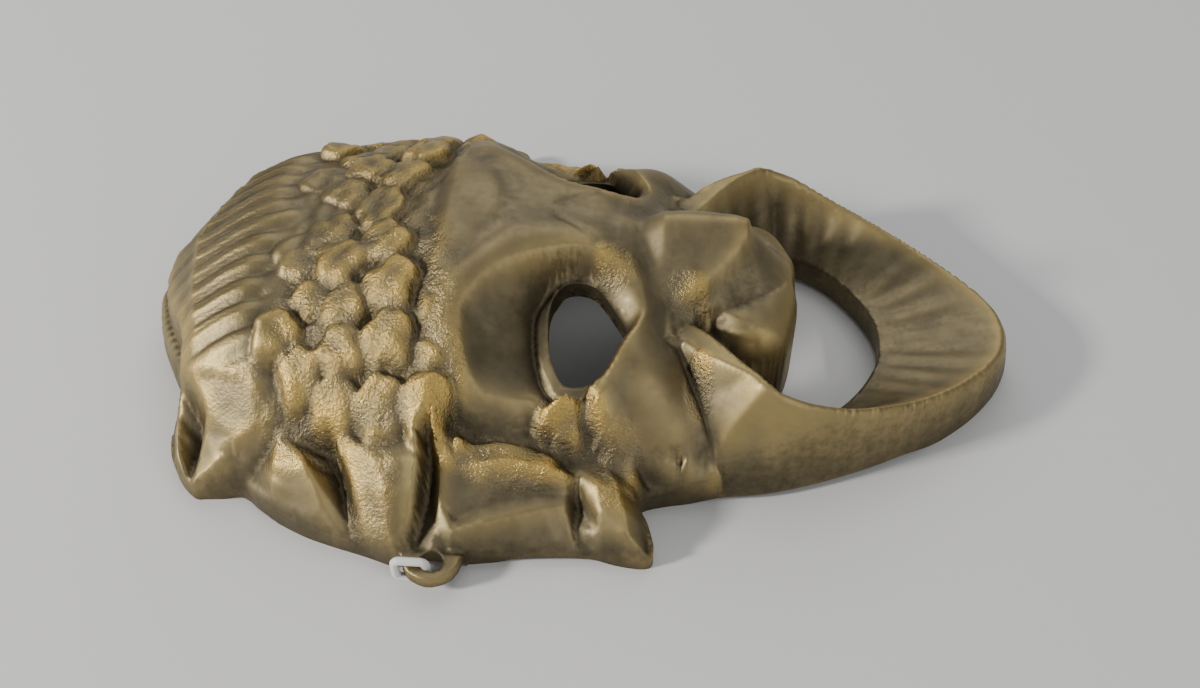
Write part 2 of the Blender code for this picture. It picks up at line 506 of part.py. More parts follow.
def resample(ring, step):
    closed = np.vstack([ring, ring[:1]])
    lengths = np.hypot(*np.diff(closed[:, :2], axis=0).T)
    run = np.concatenate([[0], np.cumsum(lengths)])
    count = max(8, int(run[-1] / step))
    at = np.linspace(0, run[-1], count, endpoint=False)
    return np.stack([np.interp(at, run, closed[:, 0]), np.interp(at, run, closed[:, 1])], 1)


def hex_points(step):
    u, v = np.meshgrid(np.arange(-126, 127, step), np.arange(-90, 91, step * 0.866))
    u = u + (np.arange(u.shape[0]) % 2)[:, None] * step / 2
    return np.stack([u.ravel(), v.ravel()], 1)


def bends_at(points, reach):
    """How much the face bends within reach of each point, in millimetres."""
    here = relief(points[:, 0], points[:, 1])
    most = np.zeros(len(points))
    for k in range(4):
        a = math.pi * k / 4
        step = np.array([math.cos(a), math.sin(a)]) * reach
        one = relief(*(points + step).T)
        other = relief(*(points - step).T)
        most = np.maximum(most, np.abs(one + other - 2 * here) / 2)
    return most


def clear_of(points, rings, lines, margin):
    """The points that lie on metal and keep a margin from outlines and feature lines."""
    ok = inside(points[:, 0], points[:, 1], rings[0]) > margin
    for ring in rings[1:]:
        ok &= inside(points[:, 0], points[:, 1], ring) < -margin
    for line in lines:
        if len(line) > 1:
            ok &= along(points[:, 0], points[:, 1], line)[0] > margin
    return points[ok]


def sheet(rings, lines, fill):
    """A triangulated plan inside the first ring and outside the others, with the feature lines as edges."""
    points = []
    edges = []
    for ring in rings:
        start = len(points)
        points += [tuple(p) for p in ring]
        edges += [(start + i, start + (i + 1) % len(ring)) for i in range(len(ring))]
    for line in lines:
        start = len(points)
        points += [tuple(p[:2]) for p in line]
        edges += [(start + i, start + i + 1) for i in range(len(line) - 1)]
    points += [tuple(p) for p in fill]
    made = delaunay_2d_cdt([Vector(p) for p in points], edges, [], 0, 1e-5)
    at = np.array([tuple(p) for p in made[0]])
    faces = np.array([f for f in made[2] if len(f) == 3])
    centre = at[faces].mean(axis=1)
    keep = inside(centre[:, 0], centre[:, 1], rings[0]) > 0
    for ring in rings[1:]:
        keep &= inside(centre[:, 0], centre[:, 1], ring) < 0
    return at, faces[keep]


def feature_lines(rings):
    """Crests and valleys that have to stay sharp on a coarse mesh, cut where they would leave the metal."""
    lines = []
    crest = bend([p[:2] for p in CREST[1:]], 3)
    lines.append(np.vstack([crest, (crest[::-1] * [1, -1])[1:]]))
    for k in range(-14, 24):
        start = RIB_START + k * RIB_PITCH / 2
        u = np.linspace(-122, -84, 7)
        s = start + RIB_SLANT * (u + 119)
        v = s + lean_of_crown(u)
        keep = (np.abs(s) < 40) & (inside(u, v, rings[0]) > 1.2)
        if keep.sum() > 1:
            lines.append(np.stack([u[keep], v[keep]], 1))
    for side in (1, -1):
        lines.append(bend(FOLD[1:-1] + [(41, 53)], 2) * [1, side])
        lines.append(np.array([p[:2] for p in INNER_EDGE[1:]]) * [1, side])
        lines.append(np.array([p[:2] for p in FLANK_EDGE[:-1]]) * [1, side])
        lines.append(bend([p[:2] for p in LIP_RIDGE[:-1]], 2) * [1, side])
        for line in LEAF_LINES[1:]:
            spots = np.array([p[:2] for p in line], float) * [1, side]
            spots[:, 1] += lean_of_crown(spots[:, 0])
            spots = spots[inside(spots[:, 0], spots[:, 1], rings[0]) > 1.4]
            if len(spots) > 1:
                lines.append(spots)
        edge = resample(bend(SOCKET, 4, True), 3.2)
        edge = edge[(edge[:, 0] < 2) | (edge[:, 1] < 14)]
        lines.extend([np.array([p * [1, side]]) for p in edge])
        for k in range(2, 17):
            turn = (k + 0.5) * math.pi / FLARE_GROOVES
            out = np.linspace(20, 62, 60)
            ray = np.array([60 + out * math.cos(turn), out * math.sin(turn)]).T
            d, _, which, _ = along(ray[:, 0], ray[:, 1], CREST_LINE)
            inner = ray[(which < 0) & (d > 1.6) & (inside(ray[:, 0], ray[:, 1], rings[1]) < -1.5)]
            if len(inner) > 6:
                lines.append(inner[[0, len(inner) // 2, -1]] * [1, side])
    return lines


def new_object(name, points, faces, material):
    mesh = bpy.data.meshes.new(name)
    mesh.from_pydata((np.asarray(points) * MM).tolist(), [], [list(map(int, f)) for f in faces])
    body = bmesh.new()
    body.from_mesh(mesh)
    bmesh.ops.recalc_face_normals(body, faces=body.faces)
    body.to_mesh(mesh)
    body.free()
    mesh.materials.append(material)
    made = bpy.data.objects.new(name, mesh)
    bpy.context.scene.collection.objects.link(made)
    return made


def boundary(faces):
    ends = np.concatenate([faces[:, [0, 1]], faces[:, [1, 2]], faces[:, [2, 0]]])
    ordered, first, count = np.unique(np.sort(ends, axis=1), axis=0, return_index=True, return_counts=True)
    return ends[first[count == 1]]


def keep_apart(top, top_faces, under, under_faces, least):
    """Lowers the underside where its flat triangles come closer to the face than the thinnest wall."""
    for _ in range(6):
        corners = under[under_faces]
        worst = 0.0
        for face, (a, b, c) in zip(under_faces, corners):
            low = np.minimum(np.minimum(a, b), c)[:2]
            high = np.maximum(np.maximum(a, b), c)[:2]
            near = top[((top[:, :2] >= low) & (top[:, :2] <= high)).all(axis=1)]
            if not len(near):
                continue
            area = (b[0] - a[0]) * (c[1] - a[1]) - (c[0] - a[0]) * (b[1] - a[1])
            if abs(area) < 1e-9:
                continue
            r = ((near[:, 0] - a[0]) * (c[1] - a[1]) - (c[0] - a[0]) * (near[:, 1] - a[1])) / area
            s = ((b[0] - a[0]) * (near[:, 1] - a[1]) - (near[:, 0] - a[0]) * (b[1] - a[1])) / area
            within = (r >= 0) & (s >= 0) & (r + s <= 1)
            level = a[2] + r * (b[2] - a[2]) + s * (c[2] - a[2])
            close = (level - (near[:, 2] - least))[within]
            if len(close) and close.max() > 0:
                worst = max(worst, close.max())
                under[face, 2] = np.maximum(under[face, 2] - close.max(), 0)
        if worst <= 0.01:
            break
    return under


def inset_runs(rings, inset):
    """The outline moved inwards, as open runs that stop where the rim is too narrow for it."""
    ring = rings[0]
    forward = np.roll(ring, -1, axis=0) - np.roll(ring, 1, axis=0)
    forward = forward / np.hypot(forward[:, 0], forward[:, 1])[:, None]
    inward = np.stack([-forward[:, 1], forward[:, 0]], 1)
    if inside(*(ring + inward * 0.5).T, ring).mean() < 0:
        inward = -inward
    moved = ring + inward * inset
    ok = inside(moved[:, 0], moved[:, 1], ring) > inset - 0.25
    for hole in rings[1:]:
        ok &= inside(moved[:, 0], moved[:, 1], hole) < -1.2
    runs = []
    run = []
    for point, good in zip(moved, ok):
        if good and (not run or np.hypot(*(point - run[-1])) > 1.6):
            run.append(point)
        elif not good and run:
            runs.append(np.array(run))
            run = []
    if run:
        runs.append(np.array(run))
    return [run for run in runs if len(run) > 1]


def cast_mask(material):
    eye = bend(EYE, 6, True)
    lug_eye = [(LUG_CENTRE[0] + LUG_EYE_RADIUS * math.cos(a), LUG_CENTRE[1] + LUG_EYE_RADIUS * math.sin(a))
               for a in np.linspace(0, 2 * math.pi, 12, endpoint=False)]
    lug_eye = np.array(lug_eye)
    rings = [resample(OUTLINE, 3.4), resample(full_mouth(), 3.4)]
    rings += [resample(eye, 2.6), resample(eye * [1, -1], 2.6), lug_eye, lug_eye * [1, -1]]
    lines = feature_lines(rings)
    fill = [clear_of(hex_points(6.4), rings, lines, 2.4)]
    for step, least in ((3.4, 0.46), (2.3, 0.86)):
        points = clear_of(hex_points(step), rings, lines, 0.55 * step)
        fill.append(points[bends_at(points, step) > least])
    kept = []
    for level, points in enumerate(fill):
        for finer in fill[level + 1:]:
            gap = np.full(len(points), 1e9)
            for q in finer:
                gap = np.minimum(gap, (points[:, 0] - q[0]) ** 2 + (points[:, 1] - q[1]) ** 2)
            points = points[gap > 1.7 ** 2]
        kept.append(points)
    at, faces = sheet(rings, lines, np.vstack(kept))
    top = np.column_stack([at, relief(at[:, 0], at[:, 1])])

    grid = hollow_grid()
    foot = inset_runs(rings, WALL - 1.2) + inset_runs(rings, WALL + 1.5)
    wide = clear_of(hex_points(5.8), rings, foot, 2.2)
    wide = wide[inside(wide[:, 0], wide[:, 1], rings[0]) > WALL + 3.6]
    back, back_faces = sheet(rings, foot, wide)
    under = np.column_stack([back, sample(grid, back[:, 0], back[:, 1])])
    under = keep_apart(top, faces, under, back_faces, 2.6)

    rim_top = boundary(faces)
    rim_under = boundary(back_faces)
    edge_points = np.unique(rim_under)
    offset = len(top)
    below = {}
    for i in np.unique(rim_top):
        gap = np.hypot(under[edge_points, 0] - top[i, 0], under[edge_points, 1] - top[i, 1])
        below[i] = int(edge_points[gap.argmin()]) + offset
    all_faces = faces.tolist() + (back_faces[:, ::-1] + offset).tolist()
    for a, b in rim_top:
        c = below[a]
        d = below[b]
        all_faces += [[b, a, c], [b, c, d]]
    print("mask: face", len(faces), "underside", len(back_faces), "rim edges", len(rim_top), len(rim_under))
    return new_object("mask", np.vstack([top, under]), all_faces, material)


def tie_cord(material):
    """A short loop of cord through the near lug's eye and round its limb: a tube along a rounded rectangle."""
    reach = CORD_GAP + CORD_RADIUS
    chord = math.sqrt(LUG_EYE_RADIUS ** 2 - (CORD_ACROSS - LUG_CENTRE[1]) ** 2)
    inner = LUG_CENTRE[0] - chord + reach
    outer = LIMB_OUTSIDE - reach
    low = LUG_BACK - reach
    high = LUG_TOP + reach
    corner = 1.6
    path = []
    for cu, cz, start in ((inner - corner, high - corner, 0), (outer + corner, high - corner, 90),
                          (outer + corner, low + corner, 180), (inner - corner, low + corner, 270)):
        for k in range(4):
            a = math.radians(start + 30 * k)
            path.append((cu + corner * math.cos(a), cz + corner * math.sin(a)))
    path = np.array(path)
    count = len(path)
    around = 8
    points = []
    faces = []
    for i in range(count):
        forward = path[(i + 1) % count] - path[i - 1]
        forward = forward / np.hypot(*forward)
        outward = np.array([forward[1], -forward[0]])
        for k in range(around):
            a = 2 * math.pi * k / around
            spot = path[i] + outward * CORD_RADIUS * math.cos(a)
            points.append((spot[0], -CORD_ACROSS + CORD_RADIUS * math.sin(a), spot[1]))
            j = (i + 1) % count
            m = (k + 1) % around
            faces.append((i * around + k, j * around + k, j * around + m, i * around + m))
    return new_object("cord_loop", points, faces, material)


def plain_material(name, colour, metallic, roughness):
    made = bpy.data.materials.new(name)
    made.use_nodes = True
    shader = made.node_tree.nodes["Principled BSDF"]
    shader.inputs["Base Color"].default_value = (*colour, 1)
    shader.inputs["Metallic"].default_value = metallic
    shader.inputs["Roughness"].default_value = roughness
    return made


for old in list(bpy.data.objects):
    bpy.data.objects.remove(old)

brass = plain_material("sand-cast brass, aged", (0.34, 0.25, 0.11), 1.0, 0.42)
nylon = plain_material("white nylon cord", (0.72, 0.72, 0.70), 0.0, 0.6)
cast_mask(brass)
tie_cord(nylon)
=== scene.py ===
# %% [markdown]
# A cast brass theatre mask, lying face up
#
# This file dresses a imported model with its fine carving, its cast and rubbed surface, and a plain studio.
# The first step loads the imported model; the mask made here is later clipped to the box of its part.
# Nothing made here may be larger.

# %% Load the imported model
import math

import bpy
import numpy as np
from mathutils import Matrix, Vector
from mathutils.geometry import delaunay_2d_cdt


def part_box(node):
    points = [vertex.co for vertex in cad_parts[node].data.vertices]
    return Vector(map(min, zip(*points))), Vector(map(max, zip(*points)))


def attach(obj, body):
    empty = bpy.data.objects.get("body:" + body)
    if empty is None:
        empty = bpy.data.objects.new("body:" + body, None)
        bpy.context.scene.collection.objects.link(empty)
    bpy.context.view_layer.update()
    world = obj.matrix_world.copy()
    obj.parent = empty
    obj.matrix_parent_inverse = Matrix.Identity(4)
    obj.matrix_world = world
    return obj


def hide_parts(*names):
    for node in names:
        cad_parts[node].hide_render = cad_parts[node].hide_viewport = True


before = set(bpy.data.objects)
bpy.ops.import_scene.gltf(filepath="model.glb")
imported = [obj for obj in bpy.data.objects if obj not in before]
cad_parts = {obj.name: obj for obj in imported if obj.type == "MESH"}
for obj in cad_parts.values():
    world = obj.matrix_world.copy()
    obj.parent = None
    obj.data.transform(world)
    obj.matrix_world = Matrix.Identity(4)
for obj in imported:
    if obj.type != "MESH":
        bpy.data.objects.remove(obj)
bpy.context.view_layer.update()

MM = 0.001
TINY = 1e-6


def put(name, data):
    """Makes an object of the mesh, light or camera and puts it in the scene."""
    made = bpy.data.objects.new(name, data)
    bpy.context.scene.collection.objects.link(made)
    return made


# %% [markdown]
# The camera
#
# The mask was photographed from its left side, from half way up, with a wide view and from close by. A
# camera that stands too far away makes the far side too large, so the distance matters as much as the
# angle.

# %% Camera
VIEW_AZIMUTH = 3.87
VIEW_ELEVATION = 45.0
VIEW_POINT = Vector((6.3, 2.3, 0.0)) * MM
VIEW_DISTANCE = 360.5 * MM

azimuth, elevation = math.radians(VIEW_AZIMUTH), math.radians(VIEW_ELEVATION)
towards_camera = Vector((math.sin(azimuth) * math.cos(elevation), -math.cos(azimuth) * math.cos(elevation),
                         math.sin(elevation)))
lens = bpy.data.cameras.new("camera")
lens.sensor_width = 36.0
lens.lens = 36.0
lens.clip_start = 0.01
camera = put("camera", lens)
camera.location = VIEW_POINT + towards_camera * VIEW_DISTANCE
camera.rotation_euler = (-towards_camera).to_track_quat("-Z", "Y").to_euler()
bpy.context.scene.camera = camera
print("camera at mm:", [round(c / MM) for c in camera.location])

# %% [markdown]
# The sizes of the casting
#
# A founder makes a mask from a pattern: one face of carved relief over a flat, with an even wall behind it.
# So the whole form can be a rule that gives the height of the face above the flat for each place in the
# plan. In these rules u runs from crown to chin, v across, w is the distance from the middle line, all in
# millimetres.

# %% Main sizes
WALL = 4.6
RIM_HEIGHT_HEAD = 6.0
RIM_HEIGHT_JAW = 3.5
RIM_ROUND = 4.0
MOUTH_RIM_HEIGHT = 9.5
MOUTH_RIM_EXTRA = 3.6
LUG_TOP = 7.0
LUG_BACK = 3.6
LUG_CENTRE = (-29.8, 83.4)
LUG_EYE_RADIUS = 3.0
CORD_RADIUS = 1.1
CORD_GAP = 0.5
CORD_ACROSS = 84.9
LIMB_OUTSIDE = -37.2
STATIONS = [-126, -123, -120, -116, -110, -103, -95, -88, -77, -66, -56, -41, -32, -26, -14, -9, 4, 13,
            20, 27, 34, 42, 50, 62, 80, 97, 112, 125]
MIDDLE_HEIGHT = [7, 13, 18.5, 24, 31, 37, 43, 46.5, 49, 50, 51, 54, 55, 56, 55, 53, 51, 49, 44, 38, 34,
                 32, 31, 28, 22, 18, 16, 12]
HALF_WIDTH = [2, 19, 25, 31, 39, 51, 58, 61, 62, 62, 63, 63, 61, 60, 58, 57, 56, 56, 56, 57, 57, 56, 55,
              52, 42, 33, 21, 4]
STATION_BLUR = (-5, -3, -1, 1, 3, 5)
DOME_FOOT = 6
print("stations along the mask:", len(STATIONS), "wall in mm:", WALL)

# %% [markdown]
# Outlines and openings
#
# The edge of the mask, the mouth, the eyes and the edge of the eye socket are drawn as a few points each. A
# smooth curve goes through them, and the far side mirrors the near side in most places.

# %% Outlines
NEAR_EDGE = [(-125, 0), (-123.5, -5), (-120, -14), (-115, -22.5), (-110, -30), (-108, -36), (-107.5, -46),
             (-104, -56), (-97.5, -62.8), (-93, -63), (-84, -62.8), (-77, -67.5), (-66, -73), (-57, -76),
             (-48, -78.5), (-37.5, -82)]
NEAR_EDGE_AFTER_LUG = [(-22, -79), (-15, -78), (1.7, -76.5), (12, -76.5), (24.3, -77), (23.4, -68),
                       (21, -60), (36.6, -55.5), (50, -53.8), (62, -50.6), (79.6, -43.4), (96.6, -34),
                       (110, -23.6), (119, -13.4), (123.8, -5), (125, 0)]
FAR_EDGE = [(124, 6), (119, 14), (110, 24)] + [(u, -v) for u, v in NEAR_EDGE_AFTER_LUG[11::-1]]
FAR_EDGE_AFTER_LUG = [(u, -v) for u, v in NEAR_EDGE[:7:-1]]
FAR_EDGE_AFTER_LUG += [(-103, 56), (-106, 48), (-109, 41), (-114, 33), (-118.5, 24), (-122, 14), (-124.6, 6)]
LUG_EDGE = [(-37, 84.2), (-34.8, 87), (-30, 88.8), (-25.2, 87), (-23.2, 84)]
EDGE_WIDTH = [(-125, 8), (-118, 30), (-108, 46), (-98, 62.5), (-84, 63), (-77, 67.5), (-57, 76),
              (-37, 82), (-15, 78.5), (24, 77), (30, 58), (62, 50.6), (97, 34), (125, 2)]
MOUTH = [(87.5, 0), (87, 6), (85, 12), (81, 19.5), (75.5, 26.5), (70, 31), (64, 33.8), (58, 34.5),
         (54, 32), (55, 27), (58, 22), (60.5, 15), (62, 7), (62.5, 0)]
EYE = [(-5.2, 29), (-5.2, 23), (-3.8, 19), (-1.6, 16.5), (2, 15.6), (6.3, 16.9), (11.1, 21.2),
       (15.5, 27.6), (13.6, 30.2), (11.9, 33.9), (8.4, 40.2), (4.9, 42.6), (0.5, 42.8), (-1.8, 40.5),
       (-4.1, 35.1)]
SOCKET = [(-26.6, 34), (-26.5, 38.3), (-25.5, 43.4), (-23.1, 48.2), (-19.1, 51.5), (-15, 52.4), (-9, 52),
          (-3, 49.5), (2.5, 48), (8.5, 46), (12.5, 41), (15.5, 35.5), (18.5, 29.5), (20.2, 25),
          (19.6, 20.2), (17.6, 16), (13, 13.3), (7, 12.6), (2, 12.8), (-4.2, 14.6), (-10, 17.3),
          (-15, 20.8), (-20.4, 25), (-24, 29.4)]
LID_WIDTH = 4.0
LID_WIDTH_AT_TOP = 1.4
LID_HEIGHT = 2.0
CREST = [(31, 41, 34.5), (36.5, 42.8, 36), (44.5, 44.2, 36.8), (50.3, 45, 36.2), (56, 46.4, 34),
         (64, 46, 30.6), (75, 42.6, 26), (88, 36.6, 22.2), (97, 31.2, 20), (105.5, 24.6, 18.2),
         (114, 16.2, 17), (119, 8, 16.5), (120.4, 0, 16.5)]
FOLD = [(24, 17), (27, 24), (29.5, 31), (32.5, 38), (36, 44), (39, 49.5), (42, 55)]
FOLD_SLOPE = 1.3
INNER_EDGE = [(31, 21.8, 34), (35.5, 26.5, 35.6), (40.2, 32.4, 36.6), (45.6, 38.6, 36.6),
              (50, 42.6, 36.3), (53.7, 45.6, 35.4)]
NOSE_RIDGE = [(0, 49.8), (12, 48.8), (17.5, 48), (20.5, 49.8), (24, 52), (28, 52.6), (36, 52.5),
              (43, 52.4), (47, 51.2), (50, 49)]
FLANK_EDGE = [(20, 17.5, 37.8), (27.4, 18.5, 38.5), (31.3, 17.5, 40), (35, 15, 42), (40.3, 11, 44.3),
              (44.3, 7, 47), (46.4, 3.5, 49.6), (47, 0, 50.6)]
LIP_RIDGE = [(31, 23, 34), (34.5, 20, 33.6), (40, 17, 34), (45, 14.5, 34.3), (52, 10.5, 35), (58, 5, 35),
             (59.6, 0, 35)]
LIP_EDGE_DROP = 13.0
SOCKET_NEAR_NOSE = 40.0
SOCKET_NEAR_WIDTH = 15.6
SOCKET_TILT = 0.474

# Each grape is u, w, its radius, and how far it stands out. Each leaf line runs outwards from the plain
# form to the rim as five points u, w and height, and a height of 0 stands for the plain form's own.
GRAPES = [(-74, 39.5, 6.6, 1.0), (-66.5, 48, 6.4, 1.0), (-57, 33, 6.4, 1.0), (-56.5, 43.5, 6.8, 1.0),
          (-57, 53, 6.4, 0.9), (-44.5, 41.5, 7.6, 1.0), (-45.5, 55, 7.0, 0.9), (-34, 55.5, 7.4, 0.9),
          (-45.5, 28.5, 7.8, 1.0), (-60, 20.5, 7.6, 0.9), (-49.5, 15, 7.6, 0.8), (-66, 30, 5.6, 0.7),
          (-64.5, 9, 7.0, 0.55), (-53, 3, 6.6, 0.6), (-72, 16, 7.5, 0.4), (-63.5, 39.5, 4.4, 0.6),
          (-35.5, 46.5, 5.0, 0.6), (-28, 60, 4.6, 0.4), (-53.5, 24, 4.2, 0.5), (-38, 34, 4.5, 0.45)]
LEAF_LINES = [
    [(-109.3, 34, 7), (-108.3, 41, 6), (-107.6, 48, 5), (-104.2, 57, 5), (-98, 63.6, 5)],
    [(-105, 40.5, 0), (-103.5, 47, 16), (-102.4, 52.3, 14), (-100.9, 58, 11.5), (-97.9, 62.6, 7)],
    [(-98, 43.5, 0), (-96.5, 48.5, 12.5), (-96.2, 52, 8.5), (-97, 56, 7), (-97.4, 62.2, 6.3)],
    [(-80.1, 48.7, 0), (-92.1, 51.3, 22.5), (-93.7, 53.8, 16.5), (-95.2, 57.8, 11), (-96.8, 62.9, 6.5)],
    [(-73.4, 55.5, 0), (-77.6, 56, 24), (-83, 57.8, 19.5), (-89.6, 60.6, 13), (-96.6, 63.6, 6.5)],
    [(-72, 57, 0), (-76, 60, 15.5), (-80, 62, 9.5), (-85, 63, 5), (-93, 64, 4)],
    [(-70.3, 57.5, 0), (-72.3, 63.6, 18), (-72.8, 66.8, 14), (-71.8, 69, 10), (-75, 71, 5)],
    [(-67.8, 58.5, 0), (-65.3, 62.9, 20.5), (-62.7, 66.3, 19), (-59.1, 71.9, 13), (-64, 75.5, 5)],
    [(-58.5, 56, 0), (-57.2, 60.5, 16), (-55.8, 64, 12), (-52.3, 74.4, 7.5), (-51.5, 79, 4)],
    [(-55.8, 58, 0), (-52.9, 64.7, 21), (-50.8, 69.3, 17.3), (-47.5, 75.6, 12), (-46, 81, 4)],
    [(-48.5, 58.6, 0), (-44.9, 66.2, 24), (-42.5, 71.7, 19.5), (-40.9, 78.4, 11.5), (-41.5, 83, 4)],
    [(-35.7, 59.8, 0), (-34.5, 65.9, 25.5), (-35, 71.8, 19.5), (-37.1, 79.4, 10), (-37.3, 84.5, 5)],
    [(-32.2, 55, 0), (-32.4, 60, 17), (-32.6, 66, 12), (-34.4, 77.5, 7), (-34.5, 84, 5)],
    [(-29.6, 57.5, 0), (-29.4, 64.5, 21), (-29.2, 70, 15), (-29.5, 76, 9.5), (-30, 84, 6)],
    [(-27.1, 57.9, 0), (-25.5, 64.3, 20.5), (-25, 73.3, 11), (-25.2, 76.6, 11), (-25.4, 81.5, 4)],
    [(-20.8, 57.1, 0), (-19.2, 63.2, 21.5), (-19, 70.3, 13), (-18.1, 74.8, 12.5), (-18.6, 79.5, 4)],
    [(-13.3, 56, 0), (-11.4, 61.6, 22), (-11.5, 67.3, 13.8), (-10.7, 72.5, 13), (-10.7, 78.5, 3)],
    [(-5.1, 56.6, 0), (-3.8, 62.4, 20.5), (-4.2, 65.9, 14.5), (-3.6, 70.3, 13.5), (-3.5, 78, 3)],
    [(0.2, 58.7, 0), (1.8, 62.5, 18.5), (2.2, 65.6, 14), (2, 68.6, 13), (2.4, 77.5, 3)],
    [(3.2, 57.8, 0), (5.2, 62, 15.5), (5.4, 66, 9), (5.2, 71.5, 7), (6, 77.5, 3)],
    [(7.3, 57.7, 0), (9.8, 64.2, 17), (11, 70, 14), (11.2, 73.7, 9), (12, 77.5, 3)],
    [(11.9, 57.6, 0), (15.4, 64.6, 16), (17.2, 70.1, 14.5), (18.5, 74.9, 11), (19.2, 78, 3)],
    [(15.4, 56.4, 0), (18.8, 60.9, 13), (20.9, 64.1, 9), (23.4, 69.6, 6), (25, 77.5, 3)]]
LEAVES_BEGIN = 38
RIB_PITCH = 7.4
RIB_START = -0.9
RIB_HEIGHT = 0.7
RIB_SLANT = 0.25
RIB_FRONT = -119
FLARE_GROOVES = 34
FLARE_GROOVE_DEPTH = 0.6
print("grapes on each side:", len(GRAPES))

# %% [markdown]
# A small set of carving tools
#
# Four kinds of tool make nearly all of the carving: a soft maximum or minimum that joins two forms with a
# small round, a distance to a drawn line, a rounded stroke along a line, and a fold of two flat faces.

# %% Carving tools
def smooth_max(a, b, k):
    """The larger of two heights, with a round of about k where they meet."""
    return 0.5 * (a + b + np.sqrt((a - b) ** 2 + k * k))


def smooth_min(a, b, k):
    """The smaller of two heights, with the same round."""
    return -smooth_max(-a, -b, k)


def ease(x, low, high):
    """Rises smoothly from 0 at low to 1 at high."""
    t = np.clip((x - low) / (high - low), 0.0, 1.0)
    return t * t * (3 - 2 * t)


def between(u, points, column):
    """A value that the points give along u, read between them in straight lines."""
    return np.interp(u, [p[0] for p in points], [p[column] for p in points])


def arc(t):
    """A quarter circle: 1 where t is 0, and 0 from 1 on."""
    return np.sqrt(np.clip(1 - t ** 2, 0, 1))


def bend(points, per=6, closed=False):
    """A smooth curve through the points."""
    p = np.array(points, float)
    n = len(p)
    out = []
    for i in range(n if closed else n - 1):
        if closed:
            a, b, c, d = p[i - 1], p[i], p[(i + 1) % n], p[(i + 2) % n]
        else:
            b, c = p[i], p[i + 1]
            a = p[i - 1] if i else 2 * b - c
            d = p[i + 2] if i + 2 < n else 2 * c - b
        for j in range(per):
            t = j / per
            cubic = (2 * a - 5 * b + 4 * c - d) * t * t + (3 * b - a - 3 * c + d) * t ** 3
            out.append(0.5 * (2 * b + (c - a) * t + cubic))
    if not closed:
        out.append(p[-1])
    return np.array(out)


def along(u, w, path):
    """Distance to a path, share of the way along it, side of it, and the heights that it carries."""
    p = np.asarray(path, float)
    best = np.full(u.shape, 1e9)
    side = np.zeros(u.shape)
    share = np.zeros(u.shape)
    carried = np.zeros(u.shape)
    n = len(p) - 1
    for i in range(n):
        e0 = p[i + 1, 0] - p[i, 0]
        e1 = p[i + 1, 1] - p[i, 1]
        du = u - p[i, 0]
        dw = w - p[i, 1]
        t = np.clip((du * e0 + dw * e1) / max(e0 * e0 + e1 * e1, 1e-12), 0, 1)
        d = (du - t * e0) ** 2 + (dw - t * e1) ** 2
        nearer = d < best
        best = np.where(nearer, d, best)
        share = np.where(nearer, (i + t) / n, share)
        side = np.where(nearer, np.sign(e0 * dw - e1 * du), side)
        if p.shape[1] > 2:
            carried = np.where(nearer, p[i, 2] * (1 - t) + p[i + 1, 2] * t, carried)
    return np.sqrt(best), share, side, carried


def soft_distance(u, w, ring):
    """Distance from an outline without a crease where two of its sides are equally near."""
    p = np.asarray(ring, float)
    lengths = np.hypot(*(np.roll(p, -1, axis=0) - p).T)
    pull = np.zeros(u.shape)
    for (x, y), length in zip(p, lengths):
        pull += length / ((u - x) ** 2 + (w - y) ** 2 + 0.3) ** 2
    return np.clip((math.pi / 2 / pull) ** (1 / 3) - 0.6, 0, None)


def inside(u, w, ring):
    """Distance from a closed outline, positive inside it."""
    p = np.asarray(ring, float)
    d = along(u, w, np.vstack([p, p[:1]]))[0]
    within = np.zeros(u.shape, bool)
    n = len(p)
    for i in range(n):
        x0, y0 = p[i, :2]
        x1, y1 = p[(i + 1) % n, :2]
        within ^= ((y0 > w) != (y1 > w)) & (u < (x1 - x0) * (w - y0) / (y1 - y0 + 1e-12) + x0)
    return np.where(within, d, -d)


def fading(share, start, end):
    """How much of a cut is left near its two ends."""
    return np.minimum(ease(share, -0.01, start), ease(1 - share, -0.01, end))


def outside(u, w, ring):
    """Distance from a closed outline outside it, and 0 inside it."""
    return np.clip(-inside(u, w, ring), 0, None)


def stroke(u, w, points, height, width, taper=0.12):
    """A rounded ridge along a curve, or a groove where the height is below zero."""
    d, share = along(u, w, bend(points, 5))[:2]
    return height * np.exp(-(d / width) ** 2) * (0.15 + 0.85 * fading(share, taper, taper))


def fold(u, w, points, height, width, taper=0.12):
    """A ridge or groove of two flat faces that meet in an edge."""
    d, share = along(u, w, bend(points, 4))[:2]
    return height * np.clip(1 - d / (1.9 * width), 0, 1) * (0.15 + 0.85 * fading(share, taper, taper))


def crease(u, w, points, depth, width):
    """A fold line that is sharp on one side and eases out on the other."""
    d, share, side = along(u, w, bend(points, 5))[:3]
    fall = np.where(side > 0, np.exp(-(d / (0.35 * width)) ** 2), np.exp(-d / width))
    return -depth * fading(share, 0.15, 0.2) * fall


print("two equal heights joined with a round of 2 mm rise by mm:", float(smooth_max(0.0, 0.0, 2.0)))

# %% Drawn outlines
def lean_of_crown(u):
    """The crown sits a little off the middle line."""
    return 5.0 * ease(-95 - u, 0, 27)


def full_outline():
    """The whole edge of the mask, with both lugs."""
    near_lug = [(u, -w) for u, w in LUG_EDGE]
    runs = (NEAR_EDGE, near_lug, NEAR_EDGE_AFTER_LUG, FAR_EDGE, LUG_EDGE[::-1], FAR_EDGE_AFTER_LUG)
    return np.vstack([bend(run) for run in runs])


def full_mouth():
    """The opening of the mouth, mirrored on the middle line."""
    half = bend(MOUTH)
    return np.vstack([half, (half[::-1] * [1, -1])[1:-1]])


